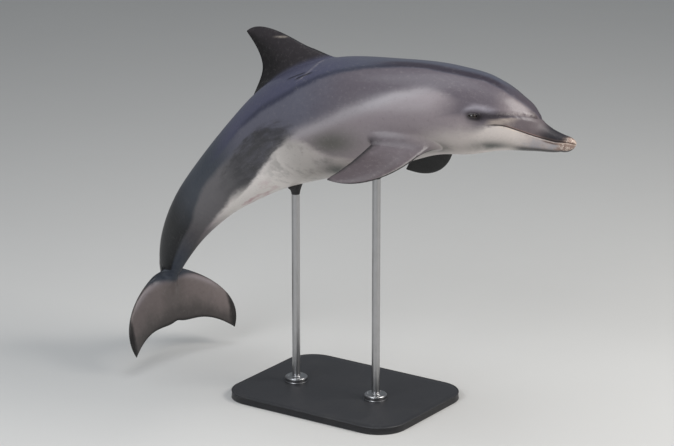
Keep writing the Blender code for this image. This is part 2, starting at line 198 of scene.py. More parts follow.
@dataclass(frozen=True)
class BodyForm:
    """Outlines of the straight body and the relief of its head, in body lengths."""

    nose: float = 0.020  # length of the rounded end of the beak
    gape: float = 0.1320  # corner of the mouth
    back: Landmarks = (
        (0.004, 0.0065), (0.020, 0.0094), (0.045, 0.0153), (0.062, 0.0243), (0.075, 0.0385),
        (0.100, 0.0531), (0.140, 0.0697), (0.200, 0.0785), (0.280, 0.0850), (0.400, 0.0955),
        (0.500, 0.0880), (0.600, 0.0680), (0.700, 0.0550), (0.800, 0.0470), (0.880, 0.0345),
        (0.925, 0.0200), (0.970, 0.0065), (1.000, 0.0030),
    )
    belly: Landmarks = (
        (0.004, 0.0095), (0.020, 0.0177), (0.060, 0.0274), (0.110, 0.0393), (0.160, 0.0565),
        (0.220, 0.0650), (0.300, 0.0830), (0.400, 0.0945), (0.500, 0.0920), (0.600, 0.0755),
        (0.700, 0.0585), (0.800, 0.0445), (0.880, 0.0300), (0.925, 0.0175), (0.970, 0.0060),
        (1.000, 0.0030),
    )
    half_width: Landmarks = (
        (0.004, 0.0095), (0.020, 0.0135), (0.040, 0.0172), (0.060, 0.0225), (0.080, 0.0340),
        (0.110, 0.0500), (0.150, 0.0620), (0.200, 0.0765), (0.280, 0.0860), (0.400, 0.0870),
        (0.500, 0.0790), (0.600, 0.0630), (0.700, 0.0430), (0.800, 0.0250), (0.880, 0.0160),
        (0.940, 0.0110), (0.970, 0.0090), (1.000, 0.0070),
    )
    widest_level: Landmarks = (
        (0.0, -0.001), (0.06, -0.002), (0.11, 0.006), (0.15, 0.008), (0.28, 0.003), (0.50, -0.002),
        (1.0, 0.0),
    )
    fullness: Landmarks = (  # power of the superellipse: 2 is an ellipse, more is boxier and less is keeled
        (0.0, 2.3), (0.10, 2.15), (0.30, 2.1), (0.60, 1.95), (0.80, 1.75), (0.95, 1.8), (1.0, 1.8),
    )
    mouth_line: Landmarks = (
        (-0.02, -0.0010), (0.019, -0.0024), (0.030, -0.0045), (0.045, -0.0048), (0.070, -0.0038),
        (0.090, -0.0014), (0.112, 0.0006), (0.132, -0.0030), (0.156, -0.0110),
    )
    crease: Landmarks = (  # fold between the melon and the beak: station, level
        (0.056, 0.0268), (0.062, 0.0241), (0.076, 0.0224), (0.094, 0.0206), (0.110, 0.0166),
        (0.126, 0.0120), (0.142, 0.0085),
    )
    brow: Landmarks = (  # middle of the swelling over the eye
        (0.100, 0.0262), (0.115, 0.0232), (0.130, 0.0208), (0.145, 0.0202), (0.155, 0.0196),
        (0.164, 0.0162), (0.174, 0.0090),
    )
    stripe: Landmarks = (  # middle of the dark stripe in front of the eye
        (0.085, 0.0205), (0.105, 0.0178), (0.116, 0.0154), (0.126, 0.0131), (0.137, 0.0102),
        (0.148, 0.0078), (0.156, 0.0070),
    )
    eye: Pair = (0.1555, 0.0068)  # station and level

    def section(self, station: Any) -> tuple[Array, ...]:
        """Sizes of the cross sections.

        Args:
            station: stations along the body.

        Returns:
            Height above the widest level and below it, half width, that level, and the outline's power.
        """
        station = np.asarray(station, dtype=float)
        at = np.maximum(station, self.nose)
        rounding = np.sqrt(np.clip(1 - (1 - np.clip(station / self.nose, 0, 1)) ** 2, 0, 1))
        outlines = (self.back, self.belly, self.half_width)
        back, belly, half = (curve_through(outline, at) * rounding for outline in outlines)
        level = curve_through(self.widest_level, at) * rounding
        return back - level, belly + level, half, level, 2 / curve_through(self.fullness, at)

    def outline(self, station: Any, around: Any) -> Array:
        """Points of the plain body, whose cross sections are superellipses.

        Args:
            station: stations along the body.
            around: angle round the body from the middle of the back, positive to the left, radians.

        Returns:
            Straight points, one more axis than the arguments.
        """
        station, around = np.broadcast_arrays(np.asarray(station, float), np.asarray(around, float))
        above, below, half, level, power = self.section(station)
        across, rise = np.sin(around), np.cos(around)
        y = half * np.sign(across) * np.abs(across) ** power
        z = level + np.where(rise >= 0, above, below) * np.sign(rise) * np.abs(rise) ** power
        return np.stack([station, y, z], axis=-1)

    def outward(self, station: Any, around: Any) -> Array:
        """Directions out of the plain body, from differences along and round it."""
        along, turn = 0.0010, 0.012
        station = np.asarray(station, float)
        ahead = np.maximum(station - along, 0)
        lengthwise = self.outline(station + along, around) - self.outline(ahead, around)
        round_about = self.outline(station, around + turn) - self.outline(station, around - turn)
        return unit(np.cross(lengthwise, round_about))

    def angle_at(self, station: Any, level: Any) -> Array:
        """Angle round the body, 0 to pi, where its side is at the given level."""
        above, below, _, widest, power = self.section(station)
        over = np.asarray(level, float) - widest
        share = np.clip(np.abs(over) / np.maximum(np.where(over >= 0, above, below), 1e-9), 0, 0.999)
        return np.arccos(np.sign(over) * share ** (1 / power))

    def mouth_level(self, station: Any) -> Array:
        """Level of the line of the lips."""
        return curve_through(self.mouth_line, station)

    def relief(self, place: Array) -> Array:
        """Height of the lips, folds, brow, cheek and blowhole over the plain body.

        Each is a bell or a pair of bells across its line, faded in and out along it.

        Args:
            place: straight points of the plain body.

        Returns:
            Heights in body lengths, positive outwards.
        """
        s, y, z = place[..., 0], np.abs(place[..., 1]), place[..., 2]
        millimetres = self.mouth_relief(s, z) + self.melon_relief(s, z)
        millimetres = millimetres + self.eye_relief(s, z) + self.blowhole_relief(s, y, z)
        return millimetres * MM

    def mouth_relief(self, s: Array, z: Array) -> Array:
        """Millimetres of the gape between full lips, its corner and the line behind it."""
        over = (z - self.mouth_level(s)) / MM
        closing = fade(s, self.gape + 0.001, self.gape - 0.010) * fade(s, 0.0008, 0.004)
        lips = -2.9 * hump(over, 1.25) + 0.9 * hump(over - 4.0, 2.6) + 1.2 * hump(over + 4.4, 3.0)
        corner = -1.6 * hump(s - self.gape - 0.0015, 5 * MM) * hump(over, 4.0)
        trailing = fade(s, self.gape - 0.002, self.gape + 0.004) * fade(s, 0.162, 0.148)
        trail = -1.0 * hump(over + 1.5, 2.6) + 0.8 * hump(over - 6.0, 5.0)
        jaw_ridge = 1.6 * hump(over - 16.0, 8.0) * fade(s, 0.075, 0.095) * fade(s, 0.146, 0.120)
        return closing * lips + corner + trailing * trail + jaw_ridge

    def melon_relief(self, s: Array, z: Array) -> Array:
        """Millimetres of the fold between the melon and the beak."""
        over = (z - curve_through(self.crease, s)) / MM
        fold = -3.4 * hump(over, 4.0) + 2.2 * hump(over - 12.0, 9.0) + 1.4 * hump(over + 12.0, 9.0)
        return fold * fade(s, 0.055, 0.066) * fade(s, 0.140, 0.112)

    def eye_relief(self, s: Array, z: Array) -> Array:
        """Millimetres of the brow, the hollows and bag round the eye, and the cheek."""
        brow = 3.4 * hump(z - curve_through(self.brow, s), 9.5 * MM)
        brow = brow * fade(s, 0.104, 0.132) * fade(s, 0.177, 0.162)
        before = -1.3 * hump(z - curve_through(self.stripe, s), 7.0 * MM)
        before = before * fade(s, 0.110, 0.126) * fade(s, 0.147, 0.138)
        back, over = s - self.eye[0], z - self.eye[1]
        bag = 1.5 * hump(back + 0.002, 19.2 * MM) * hump(over + 19 * MM, 8 * MM)
        behind = -1.0 * hump(back - 33 * MM, 8 * MM) * hump(over - 3 * MM, 16 * MM)
        cheek = 2.0 * hump(s - 0.122, 0.022) * hump(z + 0.019, 0.010)
        return brow + before + bag + behind + cheek

    def blowhole_relief(self, s: Array, y: Array, z: Array) -> Array:
        """Millimetres of the blowhole: a wide dip and a crescent cut."""
        dip = -2.2 * hump(s - 0.1405, 0.010) * hump(y, 0.013)
        crescent = s - 0.1395 + 0.9 * y**2 / 0.013
        cut = -2.4 * hump(crescent, 2.6 * MM) * fade(y, 0.0105, 0.0070)
        return (dip + cut) * (z > 0.03)

    def skin(self, station: Any, around: Any) -> Array:
        """Straight points of the body with its relief."""
        plain = self.outline(station, around)
        return plain + self.outward(station, around) * self.relief(plain)[..., None]


# -------------------- fins and flukes


def blade_section(u: Array) -> Array:
    """Half thickness across a chord, in greatest thicknesses; fullest at a third."""
    return 1.4845 * np.sqrt(u) - 0.63 * u - 1.758 * u**2 + 1.4215 * u**3 - 0.518 * u**4


@dataclass(frozen=True)
class Blade:
    """A fin on the body: cubic edges and a wing-like section between them."""

    thickness: Pair  # of the chord, at the root and at the tip
    first: float  # place along the edges of the ring nearest the body
    rings: int
    edge: float = 1.3 * MM  # half thickness of the rear edge
    last: float = 0.992

    def edges(self, t: Array) -> tuple[Array, Array]:
        """Front and rear edge at places t from root to tip."""
        raise NotImplementedError

    def across(self) -> Array:
        """Direction through the blade, towards its first side."""
        raise NotImplementedError

    def loops(self, steps: int) -> tuple[Array, Array, Array]:
        """Rings of points round the blade, from near the body to the tip.

        The points of a ring lie closer together at both edges. They go back along the first side and forward
        along the other one.

        Args:
            steps: steps along one side of a ring.

        Returns:
            Points (rings, 2 * steps, 3), places across the chord (2 * steps) and along the span (rings).
        """
        t = self.first + (self.last - self.first) * np.sin(np.linspace(0, math.pi / 2, self.rings))
        front, rear = self.edges(t)
        turn = np.arange(2 * steps) * math.pi / steps
        u = (1 - np.cos(turn)) / 2
        chord = np.linalg.norm(rear - front, axis=1)
        ratio = self.thickness[0] + (self.thickness[1] - self.thickness[0]) * t
        least = self.edge * np.minimum(1, u * 12)
        half = np.maximum(blade_section(u)[None] * (chord * ratio)[:, None], least)
        half = half * np.where(turn < math.pi, 1.0, -1.0) * np.where(np.abs(np.sin(turn)) < 1e-9, 0.0, 1.0)
        middle = front[:, None] + u[None, :, None] * (rear - front)[:, None]
        return middle + half[..., None] * self.across(), u, t


@dataclass(frozen=True)
class DorsalBlade(Blade):
    """Fin of the back: an upright blade with a swept, hooked outline."""

    thickness: Pair = (0.145, 0.10)
    first: float = 0.27
    rings: int = 16
    station: float = 0.485
    leading: Landmarks = ((0.404, 0.088), (0.443, 0.119), (0.521, 0.200), (0.563, 0.183))
    trailing: Landmarks = ((0.575, 0.075), (0.5255, 0.1055), (0.5415, 0.142), (0.563, 0.183))

    def edges(self, t: Array) -> tuple[Array, Array]:
        """Front and rear edge in the middle plane."""
        return tuple(np.insert(cubic(line, t), 1, 0.0, axis=1) for line in (self.leading, self.trailing))

    def across(self) -> Array:
        """To the left."""
        return np.array([0.0, 1.0, 0.0])


@dataclass(frozen=True)
class FlipperBlade(Blade):
    """Left flipper: a swept blade from the lower chest out to its rounded tip."""

    thickness: Pair = (0.165, 0.10)
    first: float = 0.17
    rings: int = 17
    station: float = 0.25
    root_front: Pair = (0.220, -0.049)  # station, level
    root_rear: Pair = (0.298, -0.0415)
    tip: Point = (0.353, 0.177, -0.102)
    leading: Landmarks = ((0.0, -0.50), (0.54, -0.92), (1.22, -1.03), (1.0, 0.0))  # in spans and root chords
    trailing: Landmarks = ((0.0, 0.50), (0.31, 0.34), (0.56, 0.11), (1.0, 0.0))
    body: BodyForm = BodyForm()

    def root(self) -> tuple[Array, Array]:
        """Front and rear of the root on the plain body."""
        stations, levels = np.array([self.root_front, self.root_rear]).T
        points = self.body.outline(stations, self.body.angle_at(stations, levels))
        return points[0], points[1]

    def edges(self, t: Array) -> tuple[Array, Array]:
        """Front and rear edge, in the plane of the root chord and the span."""
        front, rear = self.root()
        root, chord = (front + rear) / 2, rear - front
        span = np.array(self.tip) - root
        return tuple(
            root + line[:, :1] * span + line[:, 1:] * chord
            for line in (cubic(self.leading, t), cubic(self.trailing, t))
        )

    def across(self) -> Array:
        """Through the blade, towards its upper side."""
        front, rear = self.root()
        through = np.cross(rear - front, np.array(self.tip) - (front + rear) / 2)
        return unit(through) * (1.0 if through[2] > 0 else -1.0)


@dataclass(frozen=True)
class FlukeForm:
    """Both flukes in one level sheet: outlines of one side, thickness and droop."""

    station: float = 0.965
    leading: Landmarks = ((0.919, 0.006), (0.917, 0.062), (0.983, 0.151), (1.0425, 0.1123))
    trailing: Landmarks = ((1.002, 0.000), (1.016, 0.028), (0.992, 0.0575), (1.0425, 0.1123))
    droop: float = 0.012
    thickness: Pair = (0.13, 0.10)
    edge: float = 1.1 * MM  # half thickness near the front edge
    rows: int = 24

    def edge_stations(self, out: Array) -> tuple[Array, Array]:
        """Stations of the front and rear edge at distances from the middle line."""
        t = np.linspace(0, 1, 400)
        front, rear = cubic(self.leading, t), cubic(self.trailing, t)
        widest = int(front[:, 1].argmax())
        front, hook = front[: widest + 1], front[widest:-1][::-1]
        rear = np.concatenate([rear, hook])
        return np.interp(out, front[:, 1], front[:, 0]), np.interp(out, rear[:, 1], rear[:, 0])

    def half_thickness(self, station: Array, out: Array) -> tuple[Array, Array]:
        """Half thickness of the flukes alone at plan places, and the place across the chord.

        Args:
            station: stations.
            out: distances from the middle line.

        Returns:
            The half thickness and the place across the chord, 0 in front and 1 behind.
        """
        span = self.leading[3][1]
        front, rear = self.edge_stations(out)
        chord = np.maximum(rear - front, 1e-5)
        u = np.clip((station - front) / chord, 0, 1)
        ratio = self.thickness[0] + (self.thickness[1] - self.thickness[0]) * out / span
        return blade_section(u) * chord * ratio, u


# -------------------- the one skin


@dataclass(frozen=True)
class Markings:
    """Edges of the markings along the body, degrees from the middle of the back."""

    cape: Landmarks = (
        (0.055, 10), (0.07, 30), (0.10, 35), (0.15, 34), (0.20, 34), (0.25, 31), (0.30, 34), (0.35, 43),
        (0.40, 55), (0.45, 66), (0.50, 71), (0.55, 74), (0.60, 77), (0.70, 81), (0.80, 92), (0.90, 120),
        (1.0, 150),
    )
    blaze: Landmarks = (
        (0.15, 84), (0.19, 71), (0.22, 66), (0.25, 70), (0.30, 81), (0.35, 92), (0.40, 101), (0.43, 105),
        (0.47, 113), (0.50, 120), (0.55, 130), (0.60, 140), (0.63, 146), (0.70, 154), (0.80, 166),
        (0.90, 176), (1.0, 190),
    )
    tongue: Landmarks = (
        (0.40, 104), (0.44, 99), (0.48, 94), (0.54, 92), (0.60, 99), (0.65, 110), (0.70, 122), (0.80, 140),
        (1.0, 180),
    )
    ridge: Landmarks = (
        (0.50, 84), (0.56, 91), (0.60, 93), (0.65, 94), (0.70, 96), (0.74, 105), (0.78, 117), (0.85, 121),
        (0.95, 126),
    )
    belly: Landmarks = (
        (0.00, 96), (0.05, 97), (0.08, 95), (0.11, 93), (0.13, 98), (0.15, 107), (0.18, 112), (0.22, 118),
        (0.26, 129), (0.30, 142), (0.36, 140), (0.40, 128), (0.43, 112), (0.46, 108), (0.50, 117),
        (0.55, 129), (0.60, 138), (0.65, 139), (0.70, 149), (0.80, 160), (0.88, 174), (0.93, 188),
        (1.00, 200),
    )

    def fields(self, body: BodyForm, places: Array, around: Array) -> dict[str, Array]:
        """Numbers for the skin's vertices.

        Args:
            body: the body's outlines.
            places: straight points.
            around: angles from the middle of the back, radians.

        Returns:
            Degrees past the edge of the cape, blaze, tongue, ridge and belly; shares of the eye's patch,
            stripe and brow; millimetres over the line of the lips and over the fold of the melon.
        """
        s, z, angle = places[:, 0], places[:, 2], np.degrees(around)
        names = ("cape", "blaze", "tongue", "ridge", "belly")
        edges = {name: angle - curve_through(getattr(self, name), s) for name in names}
        eye_s, eye_z = body.eye
        on_side = fade(np.abs(places[:, 1]), 0.012, 0.02)
        patch = np.exp(-(((s - eye_s + 0.0014) / 0.0108) ** 4) - ((z - eye_z + 0.0006) / 0.0062) ** 2)
        width = curve_through(((0.09, 0.0022), (0.116, 0.0046), (0.137, 0.0072), (0.150, 0.0062)), s)
        line = np.exp(-(((z - curve_through(body.stripe, s)) / width) ** 4))
        line = line * fade(s, 0.092, 0.122) * fade(s, 0.162, 0.150)
        brow = hump(z - curve_through(body.brow, s), 0.0042)
        brow = brow * fade(s, 0.118, 0.140) * fade(s, 0.176, 0.160)
        lips = np.clip((z - body.mouth_level(s)) / MM, -90, 90) + 200 * fade(s, 0.165, 0.30)
        fold = np.clip((z - curve_through(body.crease, s)) / MM, -90, 90)
        return {**edges, "patch": patch * on_side, "line": line * on_side, "brow": brow * on_side,
                "lips": lips, "fold": fold}


class Side(Enum):
    """Which side of the animal a paired part is on."""

    LEFT = 1
    RIGHT = -1


FIELDS = ("around", "dorsal", "flipper", "fluke", "chord", "span", "upper", "socket")


class SkinPatches:
    """Points and faces of the skin, patch by patch, with numbers that ride along."""

    def __init__(self) -> None:
        """Starts with nothing."""
        self.places: list[Array] = []
        self.numbers: dict[str, list[Array]] = {name: [] for name in FIELDS}
        self.quads: list[Array] = []
        self.triangles: list[Array] = []
        self.count = 0

    def add(self, places: Array, **numbers: Any) -> Array:
        """Adds straight points.

        Args:
            places: points, any shape that ends in 3.
            numbers: values of the fields of FIELDS, broadcast over the points; the others are 0.

        Returns:
            Indices of the points, in the shape of places without its last axis.
        """
        shape = places.shape[:-1]
        self.places.append(places.reshape(-1, 3))
        for name in FIELDS:
            value = np.broadcast_to(np.asarray(numbers.get(name, 0.0), dtype=float), shape)
            self.numbers[name].append(value.reshape(-1))
        index = self.count + np.arange(int(np.prod(shape))).reshape(shape)
        self.count += index.size
        return index

    def face(self, *corners: Array, turned: bool = False) -> None:
        """Adds quads or triangles from matching arrays of indices."""
        faces = np.stack([c.reshape(-1) for c in corners], axis=-1)
        if turned:
            faces = faces[:, ::-1]
        (self.quads if len(corners) == 4 else self.triangles).append(faces)

    def collar(self, loops: Sequence[Array], turned: bool = False) -> None:
        """Strips of quads between loops of indices, one inside the other."""
        for outer, inner in zip(loops, loops[1:]):
            self.face(outer, np.roll(outer, -1), np.roll(inner, -1), inner, turned=turned)

    def flat_cap(self, loop: Array, turned: bool = False) -> None:
        """Closes a flat loop, a fin's tip, with strips between its two sides."""
        steps = len(loop) // 2
        near, far = loop[: steps + 1], np.concatenate([loop[:1], loop[steps:][::-1]])
        self.face(near[1:-2], near[2:-1], far[2:-1], far[1:-2], turned=turned)
        self.face(loop[:1], near[1:2], far[1:2], turned=turned)
        self.face(near[-2:-1], loop[steps : steps + 1], far[-2:-1], turned=turned)


@dataclass
class SkinGrid:
    """The body's grid: rows along it, and columns round its left half, that follow its features.

    The grid's points are pairs of a station and an angle. Some are held where a feature wants them: the line
    of the lips, and the rims of the holes for the eye and the fins. The shifts of the others are averages of
    their neighbours' shifts, worked out over and over, so the lines run smoothly round the features.
    """

    body: BodyForm
    columns: int = 80
    tail: float = 0.905
    mouth_column: int = 22
    eye_columns: tuple[int, int] = (13, 21)
    eye_ends: Pair = (0.1385, 0.1730)
    dorsal_columns: int = 4
    dorsal_ends: Pair = (0.398, 0.592)
    dorsal_half_width: float = 0.0185
    flipper_columns: tuple[int, int] = (24, 30)
    flipper_ends: Pair = (0.1980, 0.3160)
    flipper_half_width: float = 0.0235
    row_spacing: Landmarks = (
        (0.02, 0.0022), (0.17, 0.0023), (0.24, 0.0046), (0.31, 0.0057), (0.45, 0.0065), (0.90, 0.0070),
    )
    lip_columns: Landmarks = (  # columns beside the line of the lips, millimetres over it
        (-2, 3.3), (-1, 1.35), (0, 0.0), (1, -1.35), (2, -3.3),
    )
    rounds: int = 2500
    station: Array = field(init=False)
    around: Array = field(init=False)
    rows: dict[str, tuple[int, int]] = field(init=False)

    def __post_init__(self) -> None:
        """Works out the rows, holds the features and settles the rest."""
        base = self.row_stations()
        angles = np.arange(self.columns // 2 + 1) * 2 * math.pi / self.columns
        self.station = np.repeat(base[:, None], len(angles), axis=1)
        self.around = np.repeat(angles[None], len(base), axis=0)
        ends = {"eye": self.eye_ends, "dorsal": self.dorsal_ends, "flipper": self.flipper_ends}
        self.rows = {name: tuple(nearest(base, end) for end in pair) for name, pair in ends.items()}
        wanted = np.zeros((2, *self.station.shape))
        held = np.zeros(self.station.shape, bool)
        held[[0, 1, -1]] = True
        held[:, [0, -1]] = True
        self.hold_mouth(wanted, held)
        loops = (self.eye_loop(), self.dorsal_loop(), self.flipper_loop())
        rims = (self.eye_rim(), self.dorsal_rim(), self.flipper_rim())
        for loop, (station, around) in zip(loops, rims):
            wanted[0][loop] = station - self.station[loop]
            wanted[1][loop] = around - self.around[loop]
            held[loop] = True
        self.settle(wanted, held)

    def row_stations(self) -> Array:
        """Stations of the rows, close along the head and wider along the body."""
        nose = self.body.nose * (1 - np.cos(np.linspace(0, math.pi / 2, 14)))
        fine = np.linspace(self.body.nose, self.tail, 4000)
        spacing = curve_through(self.row_spacing, fine)
        counted = np.concatenate([[0], np.cumsum((1 / spacing[1:] + 1 / spacing[:-1]) / 2 * np.diff(fine))])
        rows = np.interp(np.linspace(0, counted[-1], int(round(counted[-1])) + 1), counted, fine)
        return np.concatenate([nose, rows[1:]])

    def hold_mouth(self, wanted: Array, held: Array) -> None:
        """Holds one column on the line of the lips and two beside it."""
        rows = slice(2, nearest(self.station[:, 0], self.body.gape + 0.002))
        s = self.station[rows, 0]
        above, below, half, _, _ = self.body.section(s)
        natural = (above + below + 2 * half) * math.pi / 2 / self.columns
        for offset, millimetres in self.lip_columns:
            step = np.sign(millimetres) * np.minimum(abs(millimetres) * MM, abs(offset) * natural)
            angle = self.body.angle_at(s, self.body.mouth_level(s) + step)
            column = self.mouth_column + offset
            wanted[1][rows, column] = angle - self.around[rows, column]
            held[rows, column] = True

    def settle(self, wanted: Array, held: Array) -> None:
        """Averages the shifts of the free points and moves the grid by them."""
        shift = wanted * held
        for _ in range(self.rounds):
            mean = np.zeros_like(shift)
            lengthwise = shift[:, 2:, 1:-1] + shift[:, :-2, 1:-1]
            mean[:, 1:-1, 1:-1] = (lengthwise + shift[:, 1:-1, 2:] + shift[:, 1:-1, :-2]) / 4
            shift = np.where(held[None], wanted, mean)
        self.station = self.station + shift[0]
        self.around = self.around + shift[1]

    def block_loop(self, name: str, first: int, last: int) -> tuple[Array, Array]:
        """Rows and columns of the rim of a block of the grid."""
        top, bottom = self.rows[name]
        wide, long = last - first, bottom - top
        back, across = np.arange(top, bottom), np.arange(first, last)
        rows = np.concatenate([np.full(wide, top), back, np.full(wide, bottom), back[::-1] + 1])
        columns = np.concatenate([across, np.full(long, last), across[::-1] + 1, np.full(long, first)])
        return rows, columns

    def eye_loop(self) -> tuple[Array, Array]:
        """Rim of the block that the eyelids fill."""
        return self.block_loop("eye", *self.eye_columns)

    def eye_rim(self) -> tuple[Array, Array]:
        """Stations and angles of that rim: a rounded box round the eye."""
        x, y = self.eye_directions()
        reach = (np.abs(x) ** 4 + np.abs(y) ** 4) ** -0.25
        s = self.body.eye[0] + 0.0005 + x * reach * 0.0168
        z = self.body.eye[1] + 0.0030 - y * reach * 0.0118
        return s, self.body.angle_at(s, z)

    def eye_directions(self) -> tuple[Array, Array]:
        """Directions from the middle of the eye to its rim: back, and down."""
        rows, columns = self.eye_loop()
        (top, bottom), (first, last) = self.rows["eye"], self.eye_columns
        back, down = rows - (top + bottom) / 2, columns - (first + last) / 2
        return back / ((bottom - top) / 2), down / ((last - first) / 2)

    def dorsal_loop(self) -> tuple[Array, Array]:
        """Left half of the rim of the dorsal fin, from front to rear."""
        top, bottom = self.rows["dorsal"]
        n = self.dorsal_columns
        rows = np.concatenate([np.full(n, top), np.arange(top, bottom), np.full(n + 1, bottom)])
        columns = np.concatenate([np.arange(n), np.full(bottom - top, n), np.arange(n, -1, -1)])
        return rows, columns

    def dorsal_rim(self, shrink: float = 1.0) -> tuple[Array, Array]:
        """Stations and angles of that rim: a long drop, fuller in front."""
        count = len(self.dorsal_loop()[0]) - 1
        turn = np.arange(count + 1) * math.pi / count
        back = (1 - np.cos(turn)) / 2
        first, last = self.dorsal_ends
        middle, half = (first + last) / 2, (last - first) / 2
        s = middle + half * (2 * back - 1) * (1 - (1 - shrink) * 0.4)
        width = shrink * self.dorsal_half_width * np.sin(turn) ** 0.75 * (1 - 0.35 * back)
        _, _, half_width, _, power = self.body.section(s)
        angle = np.arcsin(np.clip(width / half_width, 0, 0.9) ** (1 / power))
        return s, angle

    def flipper_loop(self) -> tuple[Array, Array]:
        """Rim of the left flipper, from its front round its lower side."""
        rows, columns = self.block_loop("flipper", *self.flipper_columns)
        start = (self.flipper_columns[1] - self.flipper_columns[0]) // 2
        return np.roll(rows, -start), np.roll(columns, -start)

    def flipper_rim(self, shrink: float = 1.0) -> tuple[Array, Array]:
        """Stations and angles of that rim: an oval along the root chord."""
        count = len(self.flipper_loop()[0])
        turn = np.arange(count) * 2 * math.pi / count
        first, last = self.flipper_ends
        middle, half = (first + last) / 2, (last - first) / 2
        s = middle - half * np.cos(turn) * (1 - (1 - shrink) * 0.5)
        (front_s, front_z), (rear_s, rear_z) = FlipperBlade.root_front, FlipperBlade.root_rear
        z = front_z + (s - front_s) * (rear_z - front_z) / (rear_s - front_s)
        angle = self.body.angle_at(s, z)
        _, below, half_width, _, _ = self.body.section(s)
        girth = (below + half_width) / 2
        width = shrink * self.flipper_half_width * np.sign(np.sin(turn)) * np.abs(np.sin(turn)) ** 0.8
        return s, angle + width / girth


